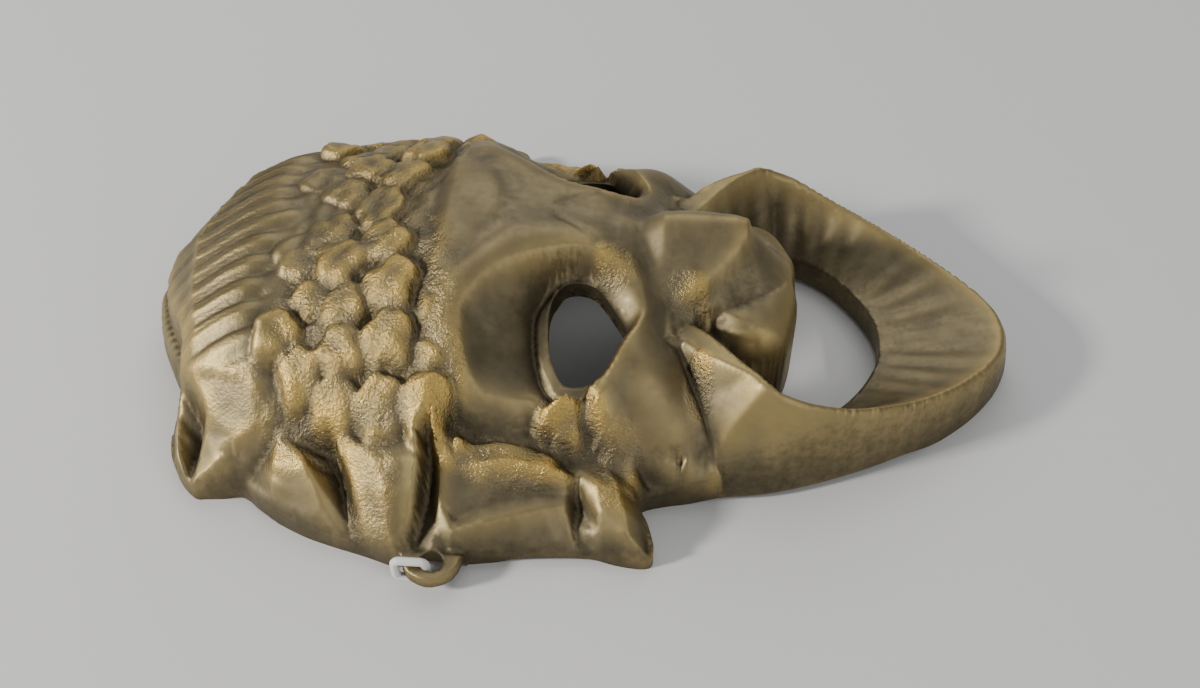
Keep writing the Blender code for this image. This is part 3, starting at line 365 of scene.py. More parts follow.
OUTLINE = full_outline()
MOUTH_RING = bend(MOUTH, 4, True)
EYE_RING = bend(EYE, 4, True)
SOCKET_RING = bend(SOCKET, 4, True)
CREST_LINE = bend(CREST, 5)
INNER_LINE = np.vstack([bend(INNER_EDGE, 4), CREST_LINE[20:]])
print("points on the outline:", len(OUTLINE))

# %% [markdown]
# The plain form under the carving
#
# Before any feature, the mask is a long dome with a skirt that reaches out to the leaves.
# The dome is an arc across the mask whose height and width change along it.

# %% Plain form
def plain_form(u, w):
    """The dome with its skirt, before anything is carved."""
    high, half = (sum(np.interp(u + k, STATIONS, values) for k in STATION_BLUR) / len(STATION_BLUR)
                  for values in (MIDDLE_HEIGHT, HALF_WIDTH))
    t = np.clip(w / half, 0, 1)
    dome = DOME_FOOT + (high - DOME_FOOT) * arc(t)
    edge = between(u, EDGE_WIDTH, 1)
    slope = 0.9 - 0.5 * ease(u, -34, -22) - 0.35 * ease(-98 - u, 0, 12)
    skirt = np.minimum(7.5 + slope * (edge - w) * ease(edge - w, -2, 6), 34)
    head = ease(24 - u, 0, 6)
    return smooth_max(dome, skirt * head + 5 * (1 - head), 4.0)


print("plain form under the nose's root in mm:", round(float(plain_form(0.0, 0.0)), 1))

# %% [markdown]
# Hair, grapes and leaves
#
# The hair is combed into ribs at the crown. The grapes are lumps, none quite round, because they were
# pressed into wax or sand. The leaves are flat faces that meet in sharp folds.

# %% Hair, grapes and leaves
LEAF_FOLDS = [([(-27.5, 59.5), (-24, 58.5), (-17, 57), (-9, 56.5), (-3, 58), (1, 60)], 3.0, 2.2),
              ([(-28, 53), (-24, 55), (-17, 54), (-9, 52.8), (-3, 54)], -3.0, 2.2),
              ([(-7, 53), (-1, 49.5), (3, 46)], 2.6, 1.8), ([(-2, 54), (5, 54.5)], 2.4, 1.8),
              ([(6, 46), (6, 50), (9, 54)], -2.8, 1.5), ([(-2, 46), (-6, 49.5), (-10, 52)], -2.6, 1.6),
              ([(8, 47), (12, 51), (16, 56)], 2.0, 2.6)]


def across_ribs(u, v):
    """How far a place is across the ribs of hair, which slant a little."""
    return v - RIB_START - RIB_SLANT * (u - RIB_FRONT)


def hair_fan(u, v, w):
    """Combed ribs at the crown, and the hollow between them and the bunches of grapes."""
    where = ease(-75 - u, 0, 8) * (1 - ease(w, 40, 50)) * ease(125 + u, 0, 2)
    turn = np.sin(math.pi * across_ribs(u, v) / RIB_PITCH)
    ribs = 2 * np.sqrt(turn * turn + 0.02) - 1.1
    hollow = stroke(u, w, [(-78, 0), (-80, 15), (-80, 27), (-78, 38)], -1.6, 4)
    return where * RIB_HEIGHT * ribs + hollow


def grapes(u, w):
    """Lumps in bunches, over an uneven band that is cut a little lower."""
    band = ease(u, -80, -72) * ease(-33 - u, 0, 6) * (1 - ease(w, 56, 64))
    top = np.zeros(u.shape)
    for centre, across, radius, stand in GRAPES:
        turn = np.arctan2(w - across, u - centre)
        uneven = 1 + 0.09 * np.sin(3 * turn + centre) + 0.06 * np.sin(5 * turn + across)
        share = ((u - centre) ** 2 + (w - across) ** 2) / (radius * uneven) ** 2
        top = np.maximum(top, 0.62 * radius * stand * arc(share))
    lumps = np.sin(0.61 * u + 0.9 * np.sin(0.37 * w)) * np.sin(0.53 * w + 1.1 * np.sin(0.41 * u))
    return top + 0.45 * lumps * band - 2.0 * band


def turned(p, q, r):
    """Twice the area of the triangle p, q, r, below zero where it turns the other way."""
    return (q[0] - p[0]) * (r[1] - p[1]) - (r[0] - p[0]) * (q[1] - p[1])


def leaf_faces(u, w, z):
    """The leaves as flat faces, ruled between each of their lines and the next."""
    lines = np.array(LEAF_LINES, float)
    form = plain_form(lines[:, :, 0], lines[:, :, 1])
    lines[:, :, 2] = np.where(lines[:, :, 2] == 0, form, lines[:, :, 2])
    place = w > LEAVES_BEGIN
    spot = (u[place], w[place])
    level = np.zeros(spot[0].shape)
    for one, other in zip(lines[:-1], lines[1:]):
        for i in range(len(one) - 1):
            for p, q, r in ((one[i], one[i + 1], other[i + 1]), (one[i], other[i + 1], other[i])):
                area = turned(p, q, r)
                if abs(area) < TINY:
                    continue
                s = turned(p, spot, r) / area
                t = turned(p, q, spot) / area
                within = (s >= -TINY) & (t >= -TINY) & (s + t <= 1 + TINY)
                here = p[2] + s * (q[2] - p[2]) + t * (r[2] - p[2])
                level = np.where(within, np.maximum(level, here), level)
    out = z.copy()
    out[place] = np.where(level > 0, level, z[place])
    return out


def leaf_edges(u, w):
    """The rolled inner edge of the last leaf, and the knots by the outer corner of the eye."""
    return sum(fold(u, w, points, height, width) for points, height, width in LEAF_FOLDS)


print("flat strips in the leaves of one side:", len(LEAF_LINES) - 1)
print("knots and rolled edges:", len(LEAF_FOLDS))

# %% [markdown]
# Brow, eyes and cheeks
#
# The brow is a broad band over a deep socket. The socket's faces run flat to the opening, as a carver cuts
# them, and a strip stands up along the upper edge of the opening as the eyelid.

# %% Brow, eyes and cheeks
LIP_FOLDS = [([(40.7, 21), (45.4, 22.9), (50.8, 23.7)], 0.9), ([(41.6, 23.2), (46.9, 25), (52.6, 25.4)], 0.9),
             ([(40, 18.8), (44.5, 20.4), (49, 20.8)], 0.7)]


def forehead(u, w):
    """The swell of the forehead, the valley between the brows, and the brow's band."""
    z = 2.2 * np.exp(-((u + 33) / 15) ** 2 - (w / 26) ** 2)
    valley = [(-17.3, -4), (-17.3, 2), (-18.3, 7), (-21.5, 13), (-27, 20), (-33.5, 26)]
    z += stroke(u, w, valley, -1.0, 3.4, 0.2)
    brow = [(12, 8), (4, 8.5), (-5, 10), (-13, 14), (-20, 19.5), (-26, 26.5), (-29.8, 34), (-29, 42)]
    brow += [(-25.5, 49), (-19, 54)]
    z += stroke(u, w, brow, 1.7, 5.6)
    z += fold(u, w, [(-6, 2), (-1, 5), (3, 8), (8, 12)], -0.5, 0.9)
    return z


def eye_socket(u, w, z):
    """Flat faces that run from the brow and the nose down to the opening, and the lid's raised strip."""
    deep = np.where(inside(u, w, SOCKET_RING) > 0, soft_distance(u, w, SOCKET_RING), 0)
    from_hole = outside(u, w, EYE_RING)
    floor = SOCKET_NEAR_NOSE - SOCKET_TILT * (w - SOCKET_NEAR_WIDTH) - 1.2 * ease(-u, 2, 8)
    strip = np.interp(w, [17, 26], [LID_WIDTH_AT_TOP, LID_WIDTH])
    to_lid = np.clip(from_hole - strip * ease(9 - u, 0, 5), 0, None)
    share = np.clip(deep / (deep + to_lid + TINY), 0, 1)
    z = z + (np.minimum(floor, z) - z) * share
    lid = LID_HEIGHT * (1 - ease(from_hole, 0.75 * strip, strip))
    return z + lid * (1 - ease(u, 6, 12)) * ease(deep, 0, 1) * ease(w, 12, 24)


def cheek(u, w):
    """The cheekbone, and the hollows beside and below it."""
    z = 5.0 * np.exp(-((u - 23) / 9) ** 2 - ((w - 44) / 11) ** 2)
    z = z - 2.5 * np.exp(-((u - 28) / 9) ** 2 - ((w - 56) / 5) ** 2)
    return z - 3.5 * np.exp(-((u - 37) / 4) ** 2 - ((w - 52) / 4) ** 2)


def lip_folds(u, w):
    """Three small folds that run back from the corner of the upper lip."""
    return sum(stroke(u, w, points, -depth, 0.9) for points, depth in LIP_FOLDS)


print("the cheekbone adds mm:", round(float(cheek(23.0, 44.0)), 1))

# %% [markdown]
# Nose, lip and the flared rim of the mouth
#
# The nose has a ridge, two flanks and an undercut end that rests on the upper lip.
# The mouth's rim is one crest line with its own heights. Outside it a wall drops to the edge, and inside it
# a fluted flare falls to the opening.

# %% Nose, lip and mouth rim
def side_of_mouth(u, w):
    """Where the flare or the lip stands: past the fold, the facet's inner edge and the lip's ridge."""
    past_fold = along(u, w, FOLD)[2] < 0
    past_edge = along(u, w, INNER_LINE)[2] < 0
    past_ridge = along(u, w, LIP_RIDGE)[2] > 0
    return past_fold & past_edge & past_ridge & (u > 30)


def nose_and_lip(u, w, z):
    """The nose with a ridge and two flanks, its hollow underside, and the upper lip below it."""
    from_edge, _, beyond, edge = along(u, w, FLANK_EDGE)
    beyond = np.where(u > 20, beyond, np.sign(w - 17.5))
    from_lip, _, past_lip, ridge = along(u, w, LIP_RIDGE)
    top = between(u, NOSE_RIDGE, 1)
    half = between(u, FLANK_EDGE, 1)
    level = between(u, FLANK_EDGE, 2)
    round_ridge = np.sqrt(w * w + 9) - 3
    round_edge = np.maximum(np.sqrt(half * half + 9) - 3, 0.3)
    flank = top - (top - level) * np.clip(round_ridge / round_edge, 0, 1.6)
    share = np.clip(from_edge / (from_edge + from_lip + TINY), 0, 1)
    under = edge + (ridge - edge) * share ** 0.75
    root = 0.05 * np.clip(26 - 0.15 * w - u, 0, 60) ** 2 * ease(w, 2, 12)
    below_tip = beyond > 0
    nose = np.where(below_tip, np.where(u > 26, under, edge - 2.2 * from_edge - root), flank - root)
    nose = nose - 14 * ease(13 - u, 0, 9)
    from_mouth = outside(u, w, MOUTH_RING)
    down = np.clip(from_lip / (from_lip + from_mouth + TINY), 0, 1)
    lip = ridge - LIP_EDGE_DROP * (1 - arc(down))
    out = ((u - 48) / 18) ** 2 + (w / 26) ** 2
    lip = np.minimum(lip, 36.5 - 16 * (1 - arc(out))) - 40 * (out > 1)
    form = np.where((past_lip > 0) & (u > 30), lip, nose)
    z = np.where(side_of_mouth(u, w), -30, z)
    return np.where((u > 4) & (w < 30) & (u < 64), smooth_max(z, form, 0.8 + 2.4 * ease(28 - u, 0, 6)), z)


def mouth_rim(u, w, z, from_edge):
    """The flared rim of the mouth: a flat facet beside the cheek, then one round crest about the chin."""
    d, _, side, crest = along(u, w, CREST_LINE)
    d = np.sqrt(d * d + 1.0) - 1.0
    inner_d, _, inner_side, inner = along(u, w, INNER_LINE)
    from_edge = np.clip(from_edge, 0, None)
    from_mouth = outside(u, w, MOUTH_RING)
    out = np.clip(d / (d + from_edge + TINY), 0, 1)
    round_wall, flat_wall = (RIM_HEIGHT_JAW + (crest - RIM_HEIGHT_JAW) * (1 - out ** k) for k in (2, 1.2))
    wall = flat_wall + (round_wall - flat_wall) * ease(u, 48, 62)
    into = np.clip(inner_d / (inner_d + from_mouth + TINY), 0, 1)
    flare = MOUTH_RIM_HEIGHT + (inner - MOUTH_RIM_HEIGHT) * (1 - into) ** 1.25
    turn = np.arctan2(w, u - 60)
    shallow = 1 - 0.5 * ease(u, 60, 75)
    flare = flare + FLARE_GROOVE_DEPTH * shallow * np.sin(turn * FLARE_GROOVES) * np.sin(math.pi * into)
    facet = (crest * (inner_d + 0.01) + inner * d) / (d + inner_d + 0.01)
    past, _, which, _ = along(u, w, FOLD)
    past = np.where((which < 0) & (along(u, w, LIP_RIDGE)[2] > 0), past, 0)
    rise = np.where(z < -20, 99, z + np.interp(w, [24, 32, 42], [1.2, 2.2, FOLD_SLOPE]) * past)
    beyond = (past > 0) | (z < -20)
    on_facet = np.where(beyond, smooth_min(facet, rise, 0.5), z)
    on_wall = np.where(beyond, smooth_min(wall, rise, 0.8), z)
    blend = ease(np.where(side > 0, d, -d), -1.2, 1.2)
    shoulder = on_facet + (on_wall - on_facet) * blend
    within = side_of_mouth(u, w) | (u > 66)
    z = np.where(within & (inner_side < 0), smooth_max(z, flare, 0.8), shoulder)
    z = np.where((u > 54) & (inner_side < 0), z + (on_wall - z) * blend, z)
    return z + crease(u, w, FOLD[2:], 1.4, 2.0)


crest_run = float(np.hypot(*np.diff(CREST_LINE[:, :2], axis=0).T).sum())
print("the rim's crest runs on each side for mm:", round(crest_run, 1))

# %% [markdown]
# The whole relief
#
# All the rules add up to one height. At the very edge the height is capped, which rounds the rim. A second
# rule gives the level of the rim's underside, which touches the flat at the crown, the leaf tips and the
# chin, and clears it a little in between.

# %% The whole relief
def relief(u, v):
    """Height of the face over the flat it lies on."""
    from_edge = inside(u, v, OUTLINE)
    s = v - lean_of_crown(u)
    w = np.sqrt(s * s + 0.6)
    z = leaf_faces(u, w, plain_form(u, w)) + hair_fan(u, s, w) + grapes(u, w) + leaf_edges(u, w)
    z = z + forehead(u, w) + cheek(u, w)
    z = eye_socket(u, w, z)
    z = nose_and_lip(u, w, z)
    z = mouth_rim(u, w, z, from_edge) + lip_folds(u, w)
    low = np.where(u > 30, RIM_HEIGHT_JAW, RIM_HEIGHT_HEAD)
    e = np.clip(from_edge, 0, RIM_ROUND) / RIM_ROUND
    free = np.where(from_edge > RIM_ROUND, 60, 0) * ease(from_edge, RIM_ROUND, RIM_ROUND + 3)
    cap = low + 9.0 * arc(1 - e) + free + 40 * ease(u, 30, 44)
    z = np.maximum(smooth_min(z, cap, 1.0), 3.0)
    lug = ease(w, 79.5, 81) * ease(7.4 - np.abs(u - LUG_CENTRE[0] + 0.3), -1.5, 0)
    return z * (1 - lug) + LUG_TOP * lug


def rests_at(u, v):
    """Level of the rim's underside: on the flat at chin, crown and leaf tips, a little over it in between."""
    w = np.abs(v)
    arch = 2.2 * ease(u, 32, 46) * ease(104 - u, 0, 14)
    arch = arch + 1.6 * ease(u, -17, -8) * ease(16 - u, 0, 7)
    arch = arch + 1.2 * ease(u, -90, -84) * ease(-72 - u, 0, 6)
    lug = ease(w, 79.8, 80.8) * ease(8.4 - np.abs(u - LUG_CENTRE[0] + 0.3), -1.5, 0)
    return arch * (1 - lug) + LUG_BACK * lug


middle = relief(np.array([-56.0, 0.0, 100.0]), np.zeros(3))
print("heights along the middle in mm:", [round(float(h), 1) for h in middle])

# %% [markdown]
# What sand casting leaves on the surface
#
# Sand casting leaves lumps of a millimetre or two where nothing was filed: among the grapes, at the temple,
# in the folds of the leaves. High faces were filed and rubbed smooth. A few gas pits are left in the
# cheeks. The lumps are real mesh, because they catch the light from the side. Each zone is a soft oval: u,
# w, its two half sizes, and how rough it is.

# %% Cast lumps and pits
ROUGH_ZONES = [(-52, 32, 24, 34, 1.0), (-30, 50, 6, 12, 1.0), (-14, 61, 18, 6, 1.0), (2, 51, 10, 7, 0.9),
               (31, 17, 6, 5, 0.8), (34.5, 40, 3.5, 7, 0.9), (-46, 70, 7, 12, 0.55), (16, 60, 7, 10, 0.7),
               (-66, 58, 12, 8, 0.7), (-82, 50, 12, 8, 0.35), (12, 14, 6, 5, 0.6), (-92, 12, 16, 40, 0.25)]
LUMP_SIZES = [(2.4, 0.55), (1.3, 0.30)]
ZONE_BORDER = (0.55, 1.45)
SMOOTH_UNEVEN = 0.10
UNEVEN_SIZE = 7.0
UNEVEN_SEED = 11
PITS = [(27.0, -30.5, 0.9), (28.8, -32.2, 0.7), (26.2, -33.0, 0.5), (-44.0, -8.0, 0.6), (63.0, -50.0, 0.5),
        (-60.5, 40.0, 0.7), (-57.0, -47.5, 0.6), (12.0, 47.0, 0.6)]
PIT_DEPTH = 0.5
GRAPE_RUB = 0.75
GRAPE_TOPS = (0.8, 2.6)
NOISE_SPAN = (280, 200)
NOISE_START = (135, 98)
COMB_LINES = 3
COMB_DEPTH = 0.22
COMB_END = -80
COMB_SIDES = (36, 44)


def in_cell(table, i, j, x, y):
    """The table's value at the shares x and y of the way across the cell that starts at i and j."""
    lower = table[i, j] * (1 - y) + table[i, j + 1] * y
    upper = table[i + 1, j] * (1 - y) + table[i + 1, j + 1] * y
    return lower * (1 - x) + upper * x


def lattice_noise(u, v, cell, seed):
    """Smooth random heights between 0 and 1, with lumps of the given size."""
    long_side, short_side = (int(side / cell) + 4 for side in NOISE_SPAN)
    table = np.random.default_rng(seed).random((long_side, short_side))
    x = (u + NOISE_START[0]) / cell
    y = (v + NOISE_START[1]) / cell
    i = x.astype(int)
    j = y.astype(int)
    return in_cell(table, i, j, ease(x - i, 0, 1), ease(y - j, 0, 1))


def roughness_of_cast(u, w):
    """How much of the cast skin is left: 0 where it was rubbed smooth, 1 where it is as cast."""
    rough = np.zeros(u.shape)
    for centre, across, half_u, half_w, amount in ROUGH_ZONES:
        far = ((u - centre) / half_u) ** 2 + ((w - across) / half_w) ** 2
        rough = np.maximum(rough, amount * (1 - ease(far, *ZONE_BORDER)))
    return rough


def comb_lines(u, s, w):
    """Fine lines along the hair's ribs."""
    phase = 2 * math.pi * COMB_LINES * across_ribs(u, s) / RIB_PITCH
    return COMB_DEPTH * np.sin(phase) * ease(COMB_END - u, 0, 8) * (1 - ease(w, *COMB_SIDES))


def fine_relief(u, v):
    """The relief with its cast lumps and gas pits."""
    w = np.abs(v - lean_of_crown(u))
    rough = roughness_of_cast(u, w) * (1 - GRAPE_RUB * ease(grapes(u, w), *GRAPE_TOPS))
    z = relief(u, v) + comb_lines(u, v - lean_of_crown(u), w)
    for seed, (size, height) in enumerate(LUMP_SIZES):
        z = z + height * rough * (lattice_noise(u, v, size, seed) - 0.5)
    z = z + SMOOTH_UNEVEN * (lattice_noise(u, v, UNEVEN_SIZE, UNEVEN_SEED) - 0.5)
    for pit_u, pit_v, radius in PITS:
        z = z - PIT_DEPTH * np.exp(-((u - pit_u) ** 2 + (v - pit_v) ** 2) / radius ** 2)
    return z


print("rough zones:", len(ROUGH_ZONES), "lump sizes in mm:", [size for size, height in LUMP_SIZES])

# %% [markdown]
# From a height rule to a mesh
#
# The plan is filled with evenly spaced points and cut into triangles that keep the outlines and crests as
# edges. Each point is then lifted to its height. The underside is the face moved inwards by the wall, as a
# ball of that radius rolled behind the face would leave it, and a band joins the two along every edge.

# %% Underside of the casting
GRID_STEP = 1.0


def plan_grid():
    """A grid a little larger than the mask: its rows, its columns, and each place's u and v."""
    us = np.arange(-130, 131, GRID_STEP)
    vs = np.arange(-94, 95, GRID_STEP)
    return us, vs, *np.meshgrid(us, vs, indexing="ij")


def hollow_grid():
    """Underside of the casting on a grid: the face moved inwards by the wall, with flat land at the rim."""
    us, vs, u, v = plan_grid()
    face = np.where(inside(u, v, OUTLINE) > 0, relief(u, v), 0.0)
    under = np.full(face.shape, 1e3)
    reach = int(WALL // GRID_STEP)
    for i in range(-reach, reach + 1):
        for j in range(-reach, reach + 1):
            gone = (i * i + j * j) * GRID_STEP ** 2
            if gone > WALL * WALL:
                continue
            moved = np.roll(np.roll(face, i, axis=0), j, axis=1) - math.sqrt(WALL * WALL - gone)
            under = np.minimum(under, moved)
    near_mouth = outside(u, np.abs(v), MOUTH_RING)
    flare_side = ease(u + 0.9 * (np.abs(v) - 43), 46, 56)
    under = under - MOUTH_RIM_EXTRA * np.exp(-(near_mouth / 4.0) ** 2) * flare_side
    return us, vs, np.maximum(under, rests_at(u, v))


def sample(grid, u, v):
    """The grid's value at each place."""
    us, vs, values = grid
    x = (u - us[0]) / GRID_STEP
    y = (v - vs[0]) / GRID_STEP
    i = np.clip(x.astype(int), 0, len(us) - 2)
    j = np.clip(y.astype(int), 0, len(vs) - 2)
    return in_cell(values, i, j, x - i, y - j)


print("rows and columns of the grid:", plan_grid()[2].shape)

# %% Points and triangles in the plan
INSET_SLACK = 0.25
HOLE_CLEARANCE = 1.2
LAND_POINT_GAP = 1.6


def resample(path, step, closed=True):
    """The path with evenly spaced points, and without a last point where it closes on its first."""
    if closed:
        path = np.vstack([path, path[:1]])
    run = np.concatenate([[0], np.cumsum(np.hypot(*np.diff(path[:, :2], axis=0).T))])
    count = int(run[-1] / step) + (not closed)
    at = np.linspace(0, run[-1], count, endpoint=not closed)
    return np.stack([np.interp(at, run, path[:, 0]), np.interp(at, run, path[:, 1])], 1)


def hex_points(step):
    """Evenly spaced points over the plan, with every other row half a step along."""
    u, v = np.meshgrid(np.arange(-126, 127, step), np.arange(-90, 91, step * 0.866))
    u = u + (np.arange(u.shape[0]) % 2)[:, None] * step / 2
    return np.stack([u.ravel(), v.ravel()], 1)


def clear_of(points, rings, lines, margin):
    """The points that lie on metal and keep a margin from outlines and feature lines."""
    ok = inside(points[:, 0], points[:, 1], rings[0]) > margin
    for ring in rings[1:]:
        ok &= inside(points[:, 0], points[:, 1], ring) < -margin
    for line in lines:
        if len(line) > 1:
            ok &= along(points[:, 0], points[:, 1], line)[0] > margin
    return points[ok]


def sheet(rings, lines, fill):
    """A triangulated plan inside the first ring and outside the others, with the feature lines as edges."""
    points = []
    edges = []
    for path, last in [(ring, 0) for ring in rings] + [(line, 1) for line in lines]:
        start = len(points)
        points += [tuple(p[:2]) for p in path]
        edges += [(start + i, start + (i + 1) % len(path)) for i in range(len(path) - last)]
    points += [tuple(p) for p in fill]
    made = delaunay_2d_cdt([Vector(p) for p in points], edges, [], 0, 1e-5)
    at = np.array([tuple(p) for p in made[0]])
    faces = np.array([f for f in made[2] if len(f) == 3])
    centre = at[faces].mean(axis=1)
    keep = inside(centre[:, 0], centre[:, 1], rings[0]) > 0
    for ring in rings[1:]:
        keep &= inside(centre[:, 0], centre[:, 1], ring) < 0
    return at, faces[keep]


def boundary(faces):
    """The edges that only one triangle has."""
    ends = np.concatenate([faces[:, [0, 1]], faces[:, [1, 2]], faces[:, [2, 0]]])
    ordered, first, count = np.unique(np.sort(ends, axis=1), axis=0, return_index=True, return_counts=True)
    return ends[first[count == 1]]


def sideways(ring):
    """Directions of length 1 that point to the right of a closed ring's run."""
    forward = np.roll(ring, -1, axis=0) - np.roll(ring, 1, axis=0)
    forward = forward / np.hypot(*forward.T)[:, None]
    return np.stack([forward[:, 1], -forward[:, 0]], 1)


def inset_runs(rings, inset):
    """The outline moved inwards, as open runs that stop where the rim is too narrow for it."""
    ring = rings[0]
    inward = -sideways(ring)
    if inside(*(ring + inward * 0.5).T, ring).mean() < 0:
        inward = -inward
    moved = ring + inward * inset
    ok = inside(moved[:, 0], moved[:, 1], ring) > inset - INSET_SLACK
    for hole in rings[1:]:
        ok &= inside(moved[:, 0], moved[:, 1], hole) < -HOLE_CLEARANCE
    runs = []
    run = []
    for point, good in zip(moved, ok):
        if good and (not run or np.hypot(*(point - run[-1])) > LAND_POINT_GAP):
            run.append(point)
        elif not good and run:
            runs.append(np.array(run))
            run = []
    if run:
        runs.append(np.array(run))
    return [run for run in runs if len(run) > 1]


print("points on the outline, one each mm:", len(resample(OUTLINE, 1.0)))

# %% [markdown]
# Wear, dirt and painted shade that follow the form
#
# Hands and polish reach the high places, and dirt and brown patina stay in the low ones, which are also
# darkened as painted shade. All come from the form itself: a place that lies under the average of its
# surroundings is a recess, and one that stands over it is worn bright. The values are kept on the mesh, and
# the brass below reads them.

# %% Recesses and worn places
NARROW = 8
WIDE = 60
SHARP_CREST = 1.2
DEEP_HOLLOW = 4.5
HIGH_SWELL = 6.0
BROAD_DIRT_AND_SHADE = 0.3
BROAD_WEAR = 0.2


def blurred(height, passes):
    """The grid of heights, softened by that many small steps."""
    for _ in range(passes):
        for axis in (0, 1):
            height = 0.25 * np.roll(height, 1, axis) + 0.5 * height + 0.25 * np.roll(height, -1, axis)
    return height


def wear_grids():
    """Two grids: how deep each place lies in a fold, and how far it stands out."""
    us, vs, u, v = plan_grid()
    height = np.where(inside(u, v, OUTLINE) > -3, relief(u, v), 0.0)
    fine = height - blurred(height, NARROW)
    broad = height - blurred(height, WIDE)
    # Recess: dirt and painted shade, darker the deeper a place lies in a fold or hollow.
    recess = np.clip(-fine, 0, 1) + np.clip(-broad / DEEP_HOLLOW, 0, 1) * BROAD_DIRT_AND_SHADE
    worn = np.clip(fine / SHARP_CREST, 0, 1) + np.clip(broad / HIGH_SWELL, 0, 1) * BROAD_WEAR
    return (us, vs, blurred(np.clip(recess, 0, 1), 1)), (us, vs, blurred(np.clip(worn, 0, 1), 1))


recess_grid, worn_grid = wear_grids()
print("mean recess and wear:", round(float(recess_grid[2].mean()), 3), round(float(worn_grid[2].mean()), 3))

# %% Build the mask
FACE_STEP = 0.85
UNDERSIDE_STEP = 2.6
FACE_CLEARANCE = 0.55 * FACE_STEP
UNDERSIDE_CLEARANCE = 0.9
LAND_LINES = (WALL - 0.3, WALL + 1.0)
HOLLOW_BEGINS = WALL + 1.8
HANGING_EYE_SIDES = 28


def keep_marks(mesh, name, values):
    """Stores one number for each point of the mesh."""
    mesh.attributes.new(name, "FLOAT", "POINT").data.foreach_set("value", np.asarray(values, np.float32))


def mask_rings():
    """The outline, the mouth, the eyes and the two hanging eyes, with a point every step."""
    turn = np.linspace(0, 2 * math.pi, HANGING_EYE_SIDES, endpoint=False)
    hanging = np.array(LUG_CENTRE) + LUG_EYE_RADIUS * np.stack([np.cos(turn), np.sin(turn)], 1)
    rings = [resample(ring, FACE_STEP) for ring in (OUTLINE, full_mouth(), bend(EYE, 6, True))]
    return rings + [rings[2] * [1, -1], hanging, hanging * [1, -1]]


def crest_lines():
    """The lines that stay sharp: crest, folds, and the edges of facet, nose, lip, socket and leaves."""
    crest = bend(CREST[1:], 10)[:, :2]
    lines = [np.vstack([crest, (crest[::-1] * [1, -1])[1:]])]
    for side in (1, -1):
        lines.append(bend(FOLD[2:-1], 6) * [1, side])
        for edge in (INNER_EDGE, FLANK_EDGE, LIP_RIDGE):
            lines.append(bend(edge[1:-1], 5)[:, :2] * [1, side])
        lines.append(bend(SOCKET[16:] + SOCKET[:2], 6) * [1, side])
        for line in LEAF_LINES[1:]:
            spots = resample(np.array(line, float), FACE_STEP, closed=False) * [1, side]
            spots[:, 1] += lean_of_crown(spots[:, 0])
            spots = spots[inside(spots[:, 0], spots[:, 1], OUTLINE) > 0.9]
            if len(spots) > 1:
                lines.append(spots)
    return lines


def cast_mask():
    """The whole casting as one closed mesh."""
    rings = mask_rings()
    lines = crest_lines()
    fill = clear_of(hex_points(FACE_STEP), rings, lines, FACE_CLEARANCE)
    at, faces = sheet(rings, lines, fill)
    top = np.column_stack([at, fine_relief(at[:, 0], at[:, 1])])

    foot = [run for inset in LAND_LINES for run in inset_runs(rings, inset)]
    wide = clear_of(hex_points(UNDERSIDE_STEP), rings, foot, UNDERSIDE_CLEARANCE)
    wide = wide[inside(wide[:, 0], wide[:, 1], rings[0]) > HOLLOW_BEGINS]
    back, back_faces = sheet(rings, foot, wide)
    under = np.column_stack([back, sample(hollow_grid(), back[:, 0], back[:, 1])])

    rim_top = boundary(faces)
    edge_points = np.unique(boundary(back_faces))
    below = {}
    for i in np.unique(rim_top):
        gap = np.hypot(under[edge_points, 0] - top[i, 0], under[edge_points, 1] - top[i, 1])
        below[i] = int(edge_points[gap.argmin()]) + len(top)
    band = [[b, a, below[a], below[b]] for a, b in rim_top]
    points = np.vstack([top, under])
    low, high = (np.array(corner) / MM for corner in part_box("mask"))
    points = np.clip(points, low, high) * MM
    mesh = bpy.data.meshes.new("mask")
    mesh.from_pydata(points.tolist(), [], faces.tolist() + (back_faces[:, ::-1] + len(top)).tolist() + band)
    mesh.validate()
    smooth = len(faces) + len(back_faces)
    mesh.polygons.foreach_set("use_smooth", [k < smooth for k in range(len(mesh.polygons))])
    u, v = points[:, :2].T / MM
    hidden = np.arange(len(points)) >= len(top)
    rough = roughness_of_cast(u, np.abs(v - lean_of_crown(u)))
    # The hidden underside gets a fixed recess value of 0.7, which darkens it.
    keep_marks(mesh, "recess", np.where(hidden, 0.7, sample(recess_grid, u, v)))
    keep_marks(mesh, "worn", np.where(hidden, 0.0, sample(worn_grid, u, v)))
    keep_marks(mesh, "as_cast", np.where(hidden, 1.0, rough))
    return put("mask_casting", mesh)


mask = cast_mask()
print("mask faces:", len(mask.data.polygons), "points:", len(mask.data.vertices))

# %% [markdown]
# The cord in the hanging lug
#
# A short white cord is tied through the near lug. Its knot is hidden, so it is one closed loop of round
# cord round the lug's limb. It is a tube along a rounded rectangle, with more sides than the solid has.

# %% Cord loop
CORD_SIDES = 20
CORNER_RADIUS = 1.6
CORNER_STEPS = 9


def cord_path():
    """The loop's middle line in u and height, a rounded rectangle round the lug's limb."""
    reach = CORD_GAP + CORD_RADIUS
    chord = math.sqrt(LUG_EYE_RADIUS ** 2 - (CORD_ACROSS - LUG_CENTRE[1]) ** 2)
    inner = LUG_CENTRE[0] - chord + reach - CORNER_RADIUS
    outer = LIMB_OUTSIDE - reach + CORNER_RADIUS
    high = LUG_TOP + reach - CORNER_RADIUS
    low = LUG_BACK - reach + CORNER_RADIUS
    path = []
    turns = ((inner, high, 0), (outer, high, 90), (outer, low, 180), (inner, low, 270))
    for centre_u, centre_z, start in turns:
        for k in range(CORNER_STEPS):
            a = math.radians(start + 90 * k / CORNER_STEPS)
            path.append((centre_u + CORNER_RADIUS * math.cos(a), centre_z + CORNER_RADIUS * math.sin(a)))
    return np.array(path)


